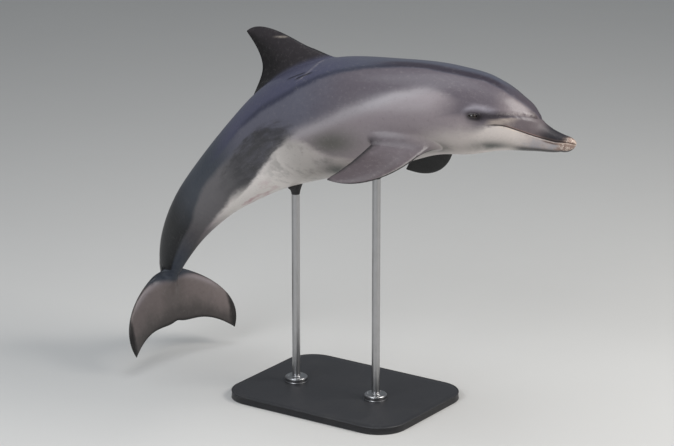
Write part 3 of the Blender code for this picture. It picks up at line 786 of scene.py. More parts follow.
@dataclass
class DolphinSkin:
    """The skin of the whole animal in one piece: body, lips, eyelids, fins and flukes."""

    pose: LeapPose
    body: BodyForm
    markings: Markings
    dorsal: DorsalBlade = DorsalBlade()
    left_flipper: FlipperBlade = FlipperBlade()
    right_flipper: FlipperBlade = FlipperBlade(tip=(0.333, 0.193, -0.1005))
    flukes: FlukeForm = FlukeForm()
    opening: Pair = (15.5 * MM, 6.8 * MM)  # of the lids: half length, half height
    opening_tilt: float = -0.10  # radians
    lid_rings: int = 9
    socket_rings: Landmarks = (  # share of the opening, depth in millimetres
        (0.955, 0.9), (0.93, 2.6), (0.90, 6.0), (0.95, 13.0), (0.7, 23.0), (0.3, 29.0),
    )
    socket_depth: float = 30 * MM
    fillet_rings: int = 7
    name: str = "dolphin_skin"
    grid: SkinGrid = field(init=False)
    patches: SkinPatches = field(init=False)
    body_index: Array = field(init=False)

    def build(self) -> Piece:
        """Adds all the patches and makes the object."""
        self.grid, self.patches = SkinGrid(self.body), SkinPatches()
        self.body_index = self.build_body()
        for side, flipper in zip(Side, (self.left_flipper, self.right_flipper)):
            self.build_eyelids(side)
            self.build_flipper(side, flipper)
        self.build_dorsal()
        self.build_flukes()
        return self.make_object()

    def build_body(self) -> Array:
        """Adds the body's grid, with holes for the eyes and fins, and the tip of the beak.

        Returns:
            Indices of the grid's points, rows by all the columns.
        """
        grid = self.grid
        half = self.body.skin(grid.station, grid.around)
        half[:, [0, -1], 1] = 0.0
        mirrored = half[:, -2:0:-1] * np.array([1, -1, 1])
        places = np.concatenate([half, mirrored], axis=1)
        around = np.concatenate([grid.around, grid.around[:, -2:0:-1]], axis=1)
        index = self.patches.add(places[1:], around=around[1:])
        index = np.concatenate([np.full((1, grid.columns), -1), index])
        pole = self.patches.add(np.array([[0.0, 0.0, 0.0]]), around=math.pi / 2)[0]
        keep = np.ones((len(index) - 1, grid.columns), bool)
        keep[0] = False
        for name, (first, last) in (("eye", grid.eye_columns), ("flipper", grid.flipper_columns)):
            top, bottom = grid.rows[name]
            keep[top:bottom, first:last] = False
            keep[top:bottom, grid.columns - last : grid.columns - first] = False
        top, bottom = grid.rows["dorsal"]
        keep[top:bottom, : grid.dorsal_columns] = False
        keep[top:bottom, -grid.dorsal_columns :] = False
        turned = np.roll(index, -1, axis=1)
        self.patches.face(*(part[keep] for part in (index[:-1], turned[:-1], turned[1:], index[1:])))
        self.patches.face(np.full(grid.columns, pole), turned[1], index[1])
        return index

    def on_side(self, loop: tuple[Array, Array], side: Side) -> Array:
        """Indices of a loop of the left half's grid, or of its mirror."""
        rows, columns = loop
        return self.body_index[rows, columns if side is Side.LEFT else (-columns) % self.grid.columns]

    def almond(self, turn: Array) -> tuple[Array, Array]:
        """Edge of the lids at angles round the eye: how far back and how high."""
        along = self.opening[0] * np.cos(turn)
        high = self.opening[1] * np.sin(turn) * np.abs(np.sin(turn)) ** 0.30
        high = high * np.where(high > 0, 1.0, 0.82)
        cosine, sine = math.cos(self.opening_tilt), math.sin(self.opening_tilt)
        return along * cosine - high * sine, along * sine + high * cosine

    def lid_height(self, along: Array, high: Array) -> Array:
        """How far the lid's edge must stand over the skin to lie on the eyeball."""
        radius = EYE_RADIUS / BODY_LENGTH
        distance = np.minimum(np.hypot(along, high), radius * 0.98)
        over = np.sqrt(radius**2 - distance**2) - EYE_SUNK / BODY_LENGTH + 0.7 * MM
        soft = 0.8 * MM
        return soft * np.log1p(np.exp(over / soft))

    def lid_swelling(self, gap: Array, turn: Array, edge_height: Array) -> Array:
        """Height of the lids over the skin: an edge, a bead, a fold and a roll.

        Args:
            gap: distances from the lids' edge.
            turn: angles round the eye.
            edge_height: heights of that edge.

        Returns:
            The heights, in body lengths.
        """
        upper, lower = fade(np.sin(turn), 0.05, 0.6), fade(-np.sin(turn), 0.15, 0.8)
        bead = 0.8 * MM * hump(gap - 1.2 * MM, 1.4 * MM)
        fold = (1.7 * upper + 1.0 * lower) * MM * hump(gap - 5.2 * MM, 1.6 * MM)
        roll = 1.1 * upper * MM * hump(gap - 9.0 * MM, 2.6 * MM)
        return edge_height * hump(gap, 7.5 * MM) + bead - fold + roll

    def lids(self) -> tuple[Array, Array]:
        """Rings of the left lids, from the block's rounded box to the almond of the opening.

        Returns:
            Points (rings, points round, 3) and their angles round the body.
        """
        body, (eye_s, eye_z) = self.body, self.body.eye
        rim = body.outline(*self.grid.eye_rim())
        back, down = self.grid.eye_directions()
        turn = np.arctan2(-down, back)
        along, high = self.almond(turn)
        share = 1 - (1 - np.linspace(0, 1, self.lid_rings + 1)[1:, None]) ** 1.45
        s = (1 - share) * rim[:, 0] + share * (eye_s + along)
        z = (1 - share) * rim[:, 2] + share * (eye_z + high)
        angle = body.angle_at(s, z)
        plain = body.outline(s, angle)
        gap = np.hypot(s - eye_s - along, z - eye_z - high)
        rise = body.relief(plain) + self.lid_swelling(gap, turn, self.lid_height(along, high))
        return plain + body.outward(s, angle) * rise[..., None], angle

    def build_eyelids(self, side: Side) -> None:
        """Fills the block round an eye with lids and a closed socket."""
        lids, angles = self.lids()
        eye = (self.body.eye[0], self.body.angle_at(*self.body.eye))
        centre, inward = self.body.outline(*eye), -self.body.outward(*eye)
        socket = np.array([
            centre + (lids[-1] - centre) * share + inward * depth * MM for share, depth in self.socket_rings
        ])
        inside = np.concatenate([np.zeros(self.lid_rings - 1), [0.35], np.linspace(0.8, 1, len(socket))])
        angles = np.concatenate([angles, np.repeat(angles[-1:], len(socket), axis=0)])
        mirror = np.array([1, side.value, 1])
        places = np.concatenate([lids, socket]) * mirror
        loops = self.patches.add(places, around=angles, socket=inside[:, None])
        bottom = (centre + inward * self.socket_depth)[None] * mirror
        end = self.patches.add(bottom, around=math.pi / 2, socket=1.0)
        turned = side is Side.RIGHT
        self.patches.collar([self.on_side(self.grid.eye_loop(), side), *loops], turned=turned)
        last = loops[-1]
        self.patches.face(last, np.roll(last, -1), np.full(len(last), end[0]), turned=turned)

    def graft(self, rim: Array, rim_places: Array, entry: Array, blade: tuple[Array, Array, Array],
              strength: Pair, facing: Array, mirror: Array, kind: str, around: float) -> None:
        """Joins a fin to its hole with a smooth fillet, and closes its tip.

        The fillet is a run of cubic Hermite curves. Each leaves the rim along the body's surface and arrives
        at the fin's first ring along the fin.

        Args:
            rim: indices of the hole's rim.
            rim_places: its straight points.
            entry: directions along the body's surface into the hole.
            blade: rings of the fin, places across its chord and along its span.
            strength: how far the curves follow their first and last direction.
            facing: direction out of the fin's first side.
            mirror: factors that put the left part on its side.
            kind: field that tells how far out on the fin a point is.
            around: angle round the body that the fin's points count as.
        """
        rings, chord, span = blade
        reach = np.linalg.norm(rings[0] - rim_places, axis=1, keepdims=True)
        leave, arrive = entry * reach * strength[0], unit(rings[1] - rings[0]) * reach * strength[1]
        t = (np.arange(1, self.fillet_rings + 1) / (self.fillet_rings + 1))[:, None, None]
        curved = (
            (2 * t**3 - 3 * t**2 + 1) * rim_places + (t**3 - 2 * t**2 + t) * leave
            + (3 * t**2 - 2 * t**3) * rings[0] + (t**3 - t**2) * arrive
        )
        first_side = np.sign((rings[-2] - rings[-2].mean(axis=0)) @ facing)
        numbers = {
            "chord": chord[None],
            "span": np.concatenate([t[:, 0] * span[0], span[:, None]]),
            "upper": first_side[None],
            "around": around,
            kind: np.concatenate([t[:, 0] * 0.9, np.ones((len(rings), 1))]),
        }
        loops = self.patches.add(np.concatenate([curved, rings]) * mirror, **numbers)
        turned = bool(mirror[1] < 0)
        self.patches.collar([rim, *loops], turned=turned)
        self.patches.flat_cap(loops[-1], turned=turned)

    def into_hole(self, rim: Callable[..., tuple[Array, Array]]) -> Array:
        """Directions along the body's surface from a rim into its hole."""
        return unit(self.body.outline(*rim(0.8)) - self.body.outline(*rim()))

    def build_dorsal(self) -> None:
        """Grafts the dorsal fin on to the back."""
        rows, columns = self.grid.dorsal_loop()
        whole_rows = np.concatenate([rows, rows[-2:0:-1]])
        whole_columns = np.concatenate([columns, (-columns[-2:0:-1]) % self.grid.columns])
        rim = self.body_index[whole_rows, whole_columns]
        entry = self.into_hole(self.grid.dorsal_rim)
        entry = np.concatenate([entry, entry[-2:0:-1] * np.array([1, -1, 1])])
        places = np.concatenate(self.patches.places)[rim]
        blade = self.dorsal.loops(len(rows) - 1)
        self.graft(rim, places, entry, blade, (0.95, 0.75), self.dorsal.across(), np.ones(3), "dorsal", 0.0)

    def build_flipper(self, side: Side, flipper: FlipperBlade) -> None:
        """Grafts a flipper on to the chest."""
        loop = self.grid.flipper_loop()
        places = np.concatenate(self.patches.places)[self.on_side(loop, Side.LEFT)]
        entry = self.into_hole(self.grid.flipper_rim)
        rings, chord, span = flipper.loops(len(places) // 2)
        rings = np.roll(rings[:, ::-1], 1, axis=1)
        blade, mirror = (rings, chord, span), np.array([1, side.value, 1])
        self.graft(self.on_side(loop, side), places, entry, blade, (0.75, 0.95), flipper.across(), mirror,
                   "flipper", 2.1)

    def fluke_plan(self, half: int) -> tuple[Array, Array]:
        """Plan of a fluke sheet: rows from the tail's last ring back, columns from right to left.

        It is a Coons patch between four curves. Its front is straight, so that what it adds is the same as
        what the corners take away. That leaves the side curves, and how far the rear edge is from a line
        between the tips.

        Args:
            half: columns on each side of the middle.

        Returns:
            The points' stations and their places across.
        """
        form, tail = self.flukes, self.grid.tail
        v = 1 - (1 - np.linspace(0, 1, form.rows + 1)[1:, None]) ** 1.12
        lead = v[:, 0]
        side = cubic(form.leading, lead)
        tail_width = self.body.section(side[:, 0])[2]
        side_x = side[:, 0] + (tail - form.leading[0][0]) * (1 - lead) ** 6
        side_y = np.where(lead > 0.5, side[:, 1], (tail_width**4 + side[:, 1] ** 4) ** 0.25)
        across = -np.cos(np.linspace(0, math.pi, 2 * half + 1))
        rear = cubic(form.trailing, np.abs(across) ** 0.9)
        tip_x, tip_y = form.leading[3]
        x = side_x[:, None] + v * (rear[:, 0] - tip_x)
        y = across * (side_y[:, None] - v * tip_y) + v * np.sign(across) * rear[:, 1]
        return x, y

    def build_flukes(self) -> None:
        """Adds the flukes: an upper and a lower sheet from the last ring of the body to the rear edge.

        A sheet's height is a rounded union of the tail's section and the flukes' section.
        """
        form, columns = self.flukes, self.grid.columns
        half = columns // 4
        x, y = self.fluke_plan(half)
        out, reach = np.abs(y), form.leading[3][1]
        blade, chord = form.half_thickness(x, out)
        middle = -form.droop * (out / reach) ** 2
        above, below, width, _, power = self.body.section(x)
        inside = np.clip(1 - (out / width) ** (2 / power), 0, 1) ** (power / 2) * fade(x, 1.0, 0.95)
        rim = np.zeros(x.shape, bool)
        rim[:, [0, -1]] = rim[-1] = True
        blade = np.maximum(blade, np.where(rim, 0.0, form.edge))
        fields = {"fluke": fade(x, 0.915, 0.945), "chord": chord, "span": np.clip(out / reach, 0, 1)}
        ring = self.body_index[-1]
        last_ring = np.arange(-half, half + 1)
        sheets: list[Array] = []
        for sign, body_part in ((1, above), (-1, below)):
            swollen = ((inside * body_part) ** 3 + blade**3) ** (1 / 3)
            places = np.stack([x, y, np.where(rim, middle, middle + sign * swollen)], axis=-1)
            around = 0.3 if sign > 0 else math.pi - 0.3
            index = self.patches.add(places, upper=sign, around=around, **fields)
            if sheets:
                index[rim] = sheets[0][rim]
            sheets.append(index)
            front = ring[(last_ring if sign > 0 else 2 * half - last_ring) % columns]
            index = np.concatenate([front[None], index])
            self.patches.face(index[:-1, :-1], index[:-1, 1:], index[1:, 1:], index[1:, :-1], turned=sign < 0)

    def world_places(self, places: Array, numbers: dict[str, Array]) -> Array:
        """Bends the straight points into the leap, the fins stiff beyond their roots."""
        world = self.pose.bend(places)
        out = np.abs(places[:, 1])
        above_back = places[:, 2] - curve_through(self.body.back, places[:, 0])
        stiff = (
            (numbers["dorsal"] * fade(above_back, 0.0, 0.035), self.dorsal.station),
            (fade(numbers["flipper"], 0.0, 1.0), self.left_flipper.station),
            (fade(places[:, 0], 0.905, 0.915) * fade(out, 0.009, 0.034), self.flukes.station),
        )
        for weight, station in stiff:
            world = world + weight[:, None] * (self.pose.carry(places, station) - world)
        return world

    def make_object(self) -> Piece:
        """Makes the object, with its straight layout and its fields as attributes."""
        places = np.concatenate(self.patches.places)
        numbers = {name: np.concatenate(parts) for name, parts in self.patches.numbers.items()}
        quads, triangles = np.concatenate(self.patches.quads), np.concatenate(self.patches.triangles)
        corners = np.concatenate([quads.reshape(-1), triangles.reshape(-1)])
        used, packed = np.unique(corners, return_inverse=True)
        places, numbers = places[used], {name: value[used] for name, value in numbers.items()}
        quads, triangles = packed[: quads.size].reshape(-1, 4), packed[quads.size :].reshape(-1, 3)
        piece = mesh_object(self.name, self.world_places(places, numbers), [quads, triangles])
        store(piece, "laid_out", places * self.pose.body_length)
        marks = self.markings.fields(self.body, places, numbers["around"])
        for name, value in {**numbers, **marks}.items():
            store(piece, name, value)
        smooth = piece.modifiers.new("smooth_skin", "SUBSURF")
        smooth.levels = smooth.render_levels = 1
        return piece


# -------------------- mesh helpers


def mesh_object(name: str, points: Array, faces: Sequence[Array], smooth: bool = True) -> Piece:
    """Object with a mesh of the given points and faces.

    Args:
        name: name of the object and its mesh.
        points: places of the vertices, (n, 3), metres.
        faces: arrays of vertex indices, one for each number of corners.
        smooth: whether the faces are shaded smoothly.

    Returns:
        The object, linked to the scene.
    """
    mesh = bpy.data.meshes.new(name)
    sizes = np.concatenate([np.full(len(part), part.shape[1]) for part in faces])
    corners = np.concatenate([part.reshape(-1) for part in faces]).astype(np.int32)
    mesh.vertices.add(len(points))
    mesh.vertices.foreach_set("co", np.asarray(points, np.float32).reshape(-1))
    mesh.loops.add(len(corners))
    mesh.loops.foreach_set("vertex_index", corners)
    mesh.polygons.add(len(sizes))
    mesh.polygons.foreach_set("loop_start", (np.cumsum(sizes) - sizes).astype(np.int32))
    mesh.polygons.foreach_set("use_smooth", np.full(len(sizes), smooth))
    mesh.update(calc_edges=True)
    mesh.validate()
    piece = bpy.data.objects.new(name, mesh)
    bpy.context.scene.collection.objects.link(piece)
    return piece


def closed_mesh(rings: Array, first: Array, last: Array) -> tuple[Array, list[Array]]:
    """Points and faces of a closed skin over rings of points, with a point on the axis at either end.

    Args:
        rings: places (rings, points round, 3), anticlockwise seen from the first end.
        first: the point before the first ring.
        last: the point after the last ring.

    Returns:
        The points, and the quads and triangles.
    """
    count, round_about = rings.shape[:2]
    index = 1 + np.arange(count * round_about).reshape(count, round_about)
    after = np.roll(index, -1, axis=1)
    quads = np.stack([index[:-1], index[1:], after[1:], after[:-1]], axis=-1).reshape(-1, 4)
    ends = np.stack([np.zeros(round_about, int), np.full(round_about, count * round_about + 1)])
    start = np.stack([ends[0], index[0], after[0]], axis=-1)
    finish = np.stack([index[-1], ends[1], after[-1]], axis=-1)
    points = np.concatenate([first[None], rings.reshape(-1, 3), last[None]])
    return points, [quads, np.concatenate([start, finish])]


def closed_piece(name: str, rings: Array, first: Array, last: Array) -> Piece:
    """Object with a closed skin over rings of points."""
    return mesh_object(name, *closed_mesh(rings, first, last))


def turned_rings(axis: Array, profile: Landmarks, steps: int) -> tuple[Array, Array, Array]:
    """Rings of a profile, from the top down, round an upright axis, and both ends."""
    radius, height = np.array(profile).T
    turn = np.arange(steps) * 2 * math.pi / steps
    x, y = radius[:, None] * np.cos(turn), radius[:, None] * np.sin(turn)
    rings = np.stack(np.broadcast_arrays(axis[0] + x, axis[1] + y, height[:, None]), axis=-1)
    first, last = (np.array([axis[0], axis[1], level]) for level in (height[0], height[-1]))
    return rings, first, last


def quadratic_terms(x: Array, y: Array) -> Array:
    """The six terms of a quadratic in x and y, the constant first."""
    return np.stack([np.ones_like(x), x, y, x * x, x * y, y * y], axis=-1)


def store(piece: Piece, name: str, values: Array) -> None:
    """Keeps numbers or vectors on a piece's vertices, for its material."""
    kind, slot = ("FLOAT_VECTOR", "vector") if values.ndim == 2 else ("FLOAT", "value")
    layer = piece.data.attributes.new(name, kind, "POINT")
    layer.data.foreach_set(slot, np.asarray(values, np.float32).reshape(-1))


# -------------------- finishes


def paint(red: float, green: float, blue: float) -> Colour:
    """Linear colour, as a shader takes it, of display numbers from 0 to 255."""
    share = np.array([red, green, blue]) / 255
    return tuple(float(v) for v in np.where(share > 0.04045, ((share + 0.055) / 1.055) ** 2.4, share / 12.92))


def math_node(operation: str) -> Callable[["Value", Any], "Value"]:
    """A method of Value that adds a Math node."""

    def method(value: "Value", other: Any) -> "Value":
        """What comes out of the node."""
        return value.bench.math(operation, value, other)

    return method


class Value:
    """A number, colour or vector in a material; arithmetic on it adds nodes."""

    __add__ = __radd__ = math_node("ADD")
    __mul__ = __rmul__ = math_node("MULTIPLY")
    __sub__ = math_node("SUBTRACT")
    __truediv__ = math_node("DIVIDE")
    __pow__ = math_node("POWER")
    at_most = math_node("MINIMUM")
    at_least = math_node("MAXIMUM")

    def __init__(self, bench: "Bench", socket: bpy.types.NodeSocket) -> None:
        """Keeps the socket and the bench that makes nodes."""
        self.bench, self.socket = bench, socket

    def __rsub__(self, other: Any) -> "Value":
        """Other less this."""
        return self.bench.math("SUBTRACT", other, self)

    def __neg__(self) -> "Value":
        """Less than nothing."""
        return self * -1.0

    def step(self, low: float, high: float) -> "Value":
        """0 below low, 1 above high, smooth between; the other way round where low is the greater."""
        settings = {"interpolation_type": "SMOOTHSTEP"}
        return self.bench.node("ShaderNodeMapRange", settings, {0: self, 1: low, 2: high})

    def hump(self, width: float) -> "Value":
        """A bell over 0 that has sunk to a third at width."""
        share = self / width
        return self.bench.math("EXPONENT", -(share * share))


class Bench:
    """Where a material is put together."""

    def __init__(self, name: str) -> None:
        """Makes a material with one Principled surface."""
        self.material = bpy.data.materials.new(name)
        self.material.use_nodes = True
        self.tree = self.material.node_tree
        self.surface = self.tree.nodes["Principled BSDF"]

    def node(self, kind: str, settings: dict[str, Any], inputs: dict[Any, Any], output: Any = 0) -> Value:
        """Makes any node.

        Args:
            kind: the node's type.
            settings: its settings, set first.
            inputs: its sockets by index or name, each a Value or a constant.
            output: index or name of the socket that comes back.

        Returns:
            The output as a Value.
        """
        made = self.tree.nodes.new(kind)
        for name, setting in settings.items():
            setattr(made, name, setting)
        for key, value in inputs.items():
            self.feed(made.inputs[key], value)
        return Value(self, made.outputs[output])

    def feed(self, socket: bpy.types.NodeSocket, value: Any) -> None:
        """Links a Value to a socket, or sets a constant on it."""
        if isinstance(value, Value):
            self.tree.links.new(value.socket, socket)
        elif isinstance(value, tuple) and len(value) == 3 and socket.type == "RGBA":
            socket.default_value = (*value, 1.0)
        else:
            socket.default_value = value

    def math(self, operation: str, *values: Any) -> Value:
        """A Math node."""
        return self.node("ShaderNodeMath", {"operation": operation}, dict(enumerate(values)))

    def number(self, name: str) -> Value:
        """A number kept on the piece's vertices."""
        return self.node("ShaderNodeAttribute", {"attribute_name": name}, {}, "Fac")

    def vector(self, name: str) -> Value:
        """A vector kept on the piece's vertices."""
        return self.node("ShaderNodeAttribute", {"attribute_name": name}, {}, "Vector")

    def own_place(self) -> Value:
        """Place on the piece, in metres."""
        return self.node("ShaderNodeTexCoord", {}, {}, "Object")

    def stretched(self, place: Value, x: float, y: float, z: float) -> Value:
        """A place multiplied along each axis."""
        return self.node("ShaderNodeVectorMath", {"operation": "MULTIPLY"}, {0: place, 1: (x, y, z)})

    def part_of(self, place: Value, axis: str) -> Value:
        """One coordinate, X, Y or Z, of a place."""
        return self.node("ShaderNodeSeparateXYZ", {}, {0: place}, axis)

    def noise(self, place: Value, scale: float, detail: float, rough: float = 0.55,
              twist: float = 0.0) -> Value:
        """Smooth noise round a half."""
        inputs = {"Vector": place, "Scale": scale, "Detail": detail, "Roughness": rough, "Distortion": twist}
        return self.node("ShaderNodeTexNoise", {"noise_dimensions": "3D"}, inputs, 0)

    def cells(self, place: Value, scale: float) -> Value:
        """Distance to the nearest of scattered points."""
        settings = {"feature": "SMOOTH_F1", "voronoi_dimensions": "3D"}
        return self.node("ShaderNodeTexVoronoi", settings, {"Vector": place, "Scale": scale}, "Distance")

    def blend(self, under: Any, over: Any, share: Any) -> Value:
        """One colour laid over another by a share."""
        return self.node("ShaderNodeMix", {"data_type": "RGBA"}, {0: share, 6: under, 7: over}, 2)

    def bump(self, height: Value, distance: float, strength: float, under: Value | None = None) -> Value:
        """A bumped normal from a height of 0 to 1."""
        inputs = {"Strength": strength, "Distance": distance, "Height": height}
        if under is not None:
            inputs["Normal"] = under
        return self.node("ShaderNodeBump", {}, inputs)

    def finish(self, **sockets: Any) -> bpy.types.Material:
        """Feeds the surface's sockets, underscores for spaces, and gives the material."""
        for name, value in sockets.items():
            self.feed(self.surface.inputs[name.replace("_", " ")], value)
        return self.material


class Coats:
    """Coats of colour, each laid over the ones before it."""

    def __init__(self, bench: Bench, first: Any) -> None:
        """Starts with one coat."""
        self.bench, self.colour = bench, first

    def lay(self, colour: Any, share: Any) -> None:
        """Lays a coat where its share is above 0."""
        self.colour = self.bench.blend(self.colour, colour, share)

    def glaze(self, colour: Colour, strength: float, share: Any) -> None:
        """Lays a thin coat through which the others show."""
        self.lay(self.bench.blend(self.colour, colour, strength), share)


class SkinCoats(Coats):
    """The skin's coats, and what they draw on: the straight place and noises round 0."""

    def __init__(self, bench: Bench) -> None:
        """Reads the straight layout and makes the noises, the broadest first."""
        super().__init__(bench, None)
        self.laid = bench.vector("laid_out")
        self.station = bench.part_of(self.laid, "X") / BODY_LENGTH
        self.degrees = bench.number("around") * (180.0 / math.pi)
        self.broad = bench.noise(self.laid, 5.0, 4.0) - 0.5
        self.cloud = bench.noise(self.laid, 17.0, 5.0, 0.6) - 0.5
        self.mottle = bench.noise(self.laid, 70.0, 4.0, 0.6) - 0.5
        self.grain = bench.noise(self.laid, 420.0, 3.0, 0.6) - 0.5
        self.brushed = bench.noise(bench.stretched(self.laid, 0.35, 1.6, 1.6), 26.0, 4.0, 0.6) - 0.5
        self.ragged = self.broad * 7.0 + self.cloud * 6.0 + self.mottle * 3.0
        self.lips, self.fold = bench.number("lips"), bench.number("fold")
        self.chord, self.span = bench.number("chord"), bench.number("span")

    def edge(self, name: str, ragged: float, brushed: float = 0.0) -> Value:
        """Degrees past the edge of a marking, made uneven by two noises."""
        return self.bench.number(name) + self.ragged * ragged + self.brushed * brushed

    def spot(self, station: float, length: float, degrees: float, width: float) -> Value:
        """A soft spot: a bell along the body times a bell round it, degrees."""
        return (self.station - station).hump(length) * (self.degrees - degrees).hump(width)

    def along(self, *stops: tuple[float, Colour]) -> Value:
        """A colour that passes to each stop's near its station."""
        colour = stops[0][1]
        uneven = self.station + self.cloud * 0.03
        for place, following in stops[1:]:
            colour = self.bench.blend(colour, following, uneven.step(place - 0.055, place + 0.055))
        return colour


@dataclass(frozen=True)
class WetSkin:
    """Wet skin: a dark cape, mauve flanks with a pale blaze, a cream belly and dark fins, with some
    highlights, sheen and shade painted in.
    """

    name: str = "wet_dolphin_skin"
    # the cape's dark grey, made paler and bluer by a painted sky reflection
    cape: Colour = paint(72, 74, 87)
    cape_shade: Colour = paint(44, 36, 46)
    # the rear cape's dark grey, tinted blue by a painted sky sheen
    rear_cape_with_sheen: Colour = paint(72, 72, 91)
    cape_line: Colour = paint(38, 40, 54)
    melon_cape: Colour = paint(72, 64, 71)
    melon_side: Colour = paint(116, 106, 109)
    flank: Colour = paint(92, 85, 92)
    rear_flank: Colour = paint(92, 91, 102)
    stock: Colour = paint(56, 61, 70)
    # near-black end of the tail stock: its dark grey deepened by painted shade
    shaded_stock_end: Colour = paint(16, 17, 20)
    stock_side: Colour = paint(100, 97, 99)
    stock_low: Colour = paint(72, 68, 70)
    side: Colour = paint(138, 128, 131)
    olive: Colour = paint(84, 82, 77)
    blaze: Colour = paint(154, 148, 151)
    tongue: Colour = paint(58, 57, 60)
    front_belly: Colour = paint(210, 200, 194)
    chest: Colour = paint(170, 161, 158)
    belly: Colour = paint(172, 166, 161)
    rear_belly: Colour = paint(230, 223, 218)
    rose: Colour = paint(190, 148, 154)
    throat_shade: Colour = paint(76, 80, 77)
    # dark of the hollow at the root of the beak: painted shade
    crease: Colour = paint(52, 40, 44)
    jaw: Colour = paint(168, 158, 156)
    shade_under_jaw: Colour = paint(28, 28, 30)
    jaw_blue: Colour = paint(150, 152, 160)
    cheek: Colour = paint(160, 148, 140)
    lip_rose: Colour = paint(152, 124, 117)
    beak: Colour = paint(100, 91, 94)
    beak_side: Colour = paint(62, 50, 47)
    beak_saddle: Colour = paint(27, 26, 33)
    jaw_streak: Colour = paint(84, 64, 55)
    beak_tip: Colour = paint(142, 118, 106)
    beak_fleck: Colour = paint(236, 220, 206)
    lip: Colour = paint(20, 11, 9)
    lower_lip_highlight: Colour = paint(216, 200, 186)
    eye_patch: Colour = paint(24, 18, 20)
    eye_stripe: Colour = paint(48, 43, 48)
    # pale brow: a painted highlight on its swelling
    brow: Colour = paint(146, 141, 149)
    fin: Colour = paint(49, 44, 46)
    fin_shade: Colour = paint(19, 16, 16)
    fin_edge: Colour = paint(9, 8, 9)
    scar: Colour = paint(150, 140, 130)
    flipper_root: Colour = paint(98, 90, 94)
    flipper: Colour = paint(79, 70, 73)
    # flippers' inside: dark grey deepened by painted shade
    flipper_inside: Colour = paint(14, 14, 15)
    fluke: Colour = paint(112, 102, 100)
    fluke_root: Colour = paint(84, 78, 76)
    # near-black inside the eye's socket: painted shade
    socket: Colour = paint(16, 11, 11)
    fleck_pale: Colour = paint(235, 228, 222)
    fleck_dark: Colour = paint(12, 10, 12)
    rake: Colour = paint(230, 224, 220)

    def make(self) -> bpy.types.Material:
        """Lays the coats, then adds the gloss and the fine relief."""
        b = Bench(self.name)
        w = SkinCoats(b)
        # the flanks darken towards the tail's end, where the last colour is partly painted shade
        w.colour = w.along((0.0, self.flank), (0.38, self.rear_flank), (0.60, self.stock),
                           (0.77, self.shaded_stock_end))
        for lay in (self.lay_flanks, self.lay_belly, self.lay_tongue, self.lay_cape, self.lay_melon,
                    self.lay_jaw, self.lay_beak):
            lay(w)
        self.lay_lips(w, self.lay_beak_tip(w))
        self.lay_eye(w)
        rim = self.fin_rim(w)
        for lay in (self.lay_dorsal, self.lay_flippers, self.lay_flukes):
            lay(w, rim)
        folds, strokes = self.creases(w)
        # painted highlight along the ridge of the fold
        w.lay(self.blaze, folds * (0.30 + w.mottle * 0.8))
        # painted shade in the short creases
        w.lay(self.fin_edge, strokes * 0.80)
        matt = self.matt(w)
        self.lay_flecks(w, 1.0 - matt * 0.8)
        rough = 0.37 + w.mottle * 0.14 + w.cloud * 0.12 + matt * 0.28
        wrinkle = b.noise(b.stretched(w.laid, 3.0, 1.0, 1.0), 34.0, 4.0, 0.6)
        normal = b.bump(wrinkle, 0.0022, 0.30)
        normal = b.bump(w.grain + w.mottle * 0.5, 0.0005, 0.35, normal)
        normal = b.bump(folds - strokes, 0.0020, 0.6, normal)
        return b.finish(Base_Color=w.colour, Roughness=rough, Normal=normal, Specular_IOR_Level=0.34,
                        Coat_Weight=(1.0 - matt) * 0.14, Coat_Roughness=0.14)

    def matt(self, w: SkinCoats) -> Value:
        """Share of the matt places: the upper beak and the flippers' inside."""
        b = w.bench
        beak = w.lips.step(-1.0, 3.0) * w.station.step(0.088, 0.060)
        return (beak * 0.65).at_least(b.number("flipper") * b.number("upper").step(0.2, -0.2))

    def creases(self, w: SkinCoats) -> tuple[Value, Value]:
        """Masks of the fold in front of the dorsal fin and of the short creases beside it, for relief, a
        painted highlight along the fold and painted shade in the creases.
        """
        s, degrees = w.station + w.mottle * 0.004, w.degrees
        past = (degrees - 27.0).at_least(0.0) / 24.0
        fold = (s - 0.4125 - past * past * 0.018).hump(0.0030)
        fold = fold * degrees.step(3.0, 14.0) * degrees.step(55.0, 47.0)
        first = (degrees - 43.5 - (s - 0.414) * 190.0).hump(1.4) * s.step(0.408, 0.415) * s.step(0.442, 0.434)
        second = (degrees - 41.0 - (s - 0.425) * 110.0).hump(1.1)
        return fold, first.at_least(second * s.step(0.422, 0.428) * s.step(0.458, 0.450))

    def lay_flanks(self, w: SkinCoats) -> None:
        """The paler low side of the tail stock, the side with its olive patch, and the blaze."""
        s, ridge, blaze = w.station, w.edge("ridge", 0.6, 6.0), w.edge("blaze", 0.5)
        low = w.along((0.0, self.stock_side), (0.775, self.stock_low), (0.835, self.stock))
        w.lay(low, ridge.step(-5.0, 8.0) * s.step(0.52, 0.64))
        forward = (s.step(0.138, 0.168) * w.degrees.step(86.0, 99.0)).at_least(s.step(0.165, 0.215))
        w.lay(self.side, blaze.step(-5.0, 6.0) * forward * s.step(0.62, 0.50))
        w.lay(self.olive, w.spot(0.374, 0.046, 119.0, 15.0) * 0.95)
        crest = (blaze - 1.0).hump(6.5) * s.step(0.18, 0.24) * s.step(0.54, 0.42)
        w.lay(self.blaze, crest * 0.85)

    def lay_belly(self, w: SkinCoats) -> None:
        """The pale belly, two spots of painted shade by the flipper, a blush near the vent and olive patches.
        """
        b, s, belly = w.bench, w.station, w.edge("belly", 1.0, 12.0)
        under = w.along((0.0, self.front_belly), (0.17, self.chest), (0.42, self.belly),
                        (0.50, self.rear_belly), (0.735, self.side), (0.79, self.stock_low),
                        (0.86, self.stock))
        soft = s.step(0.125, 0.155) * s.step(0.27, 0.23)
        pale = (belly / (1.0 + soft * 1.6)).step(-5.0, 7.0)
        w.lay(under, pale)
        uneven = (w.cloud * 1.5 + 0.85).at_most(1.0)
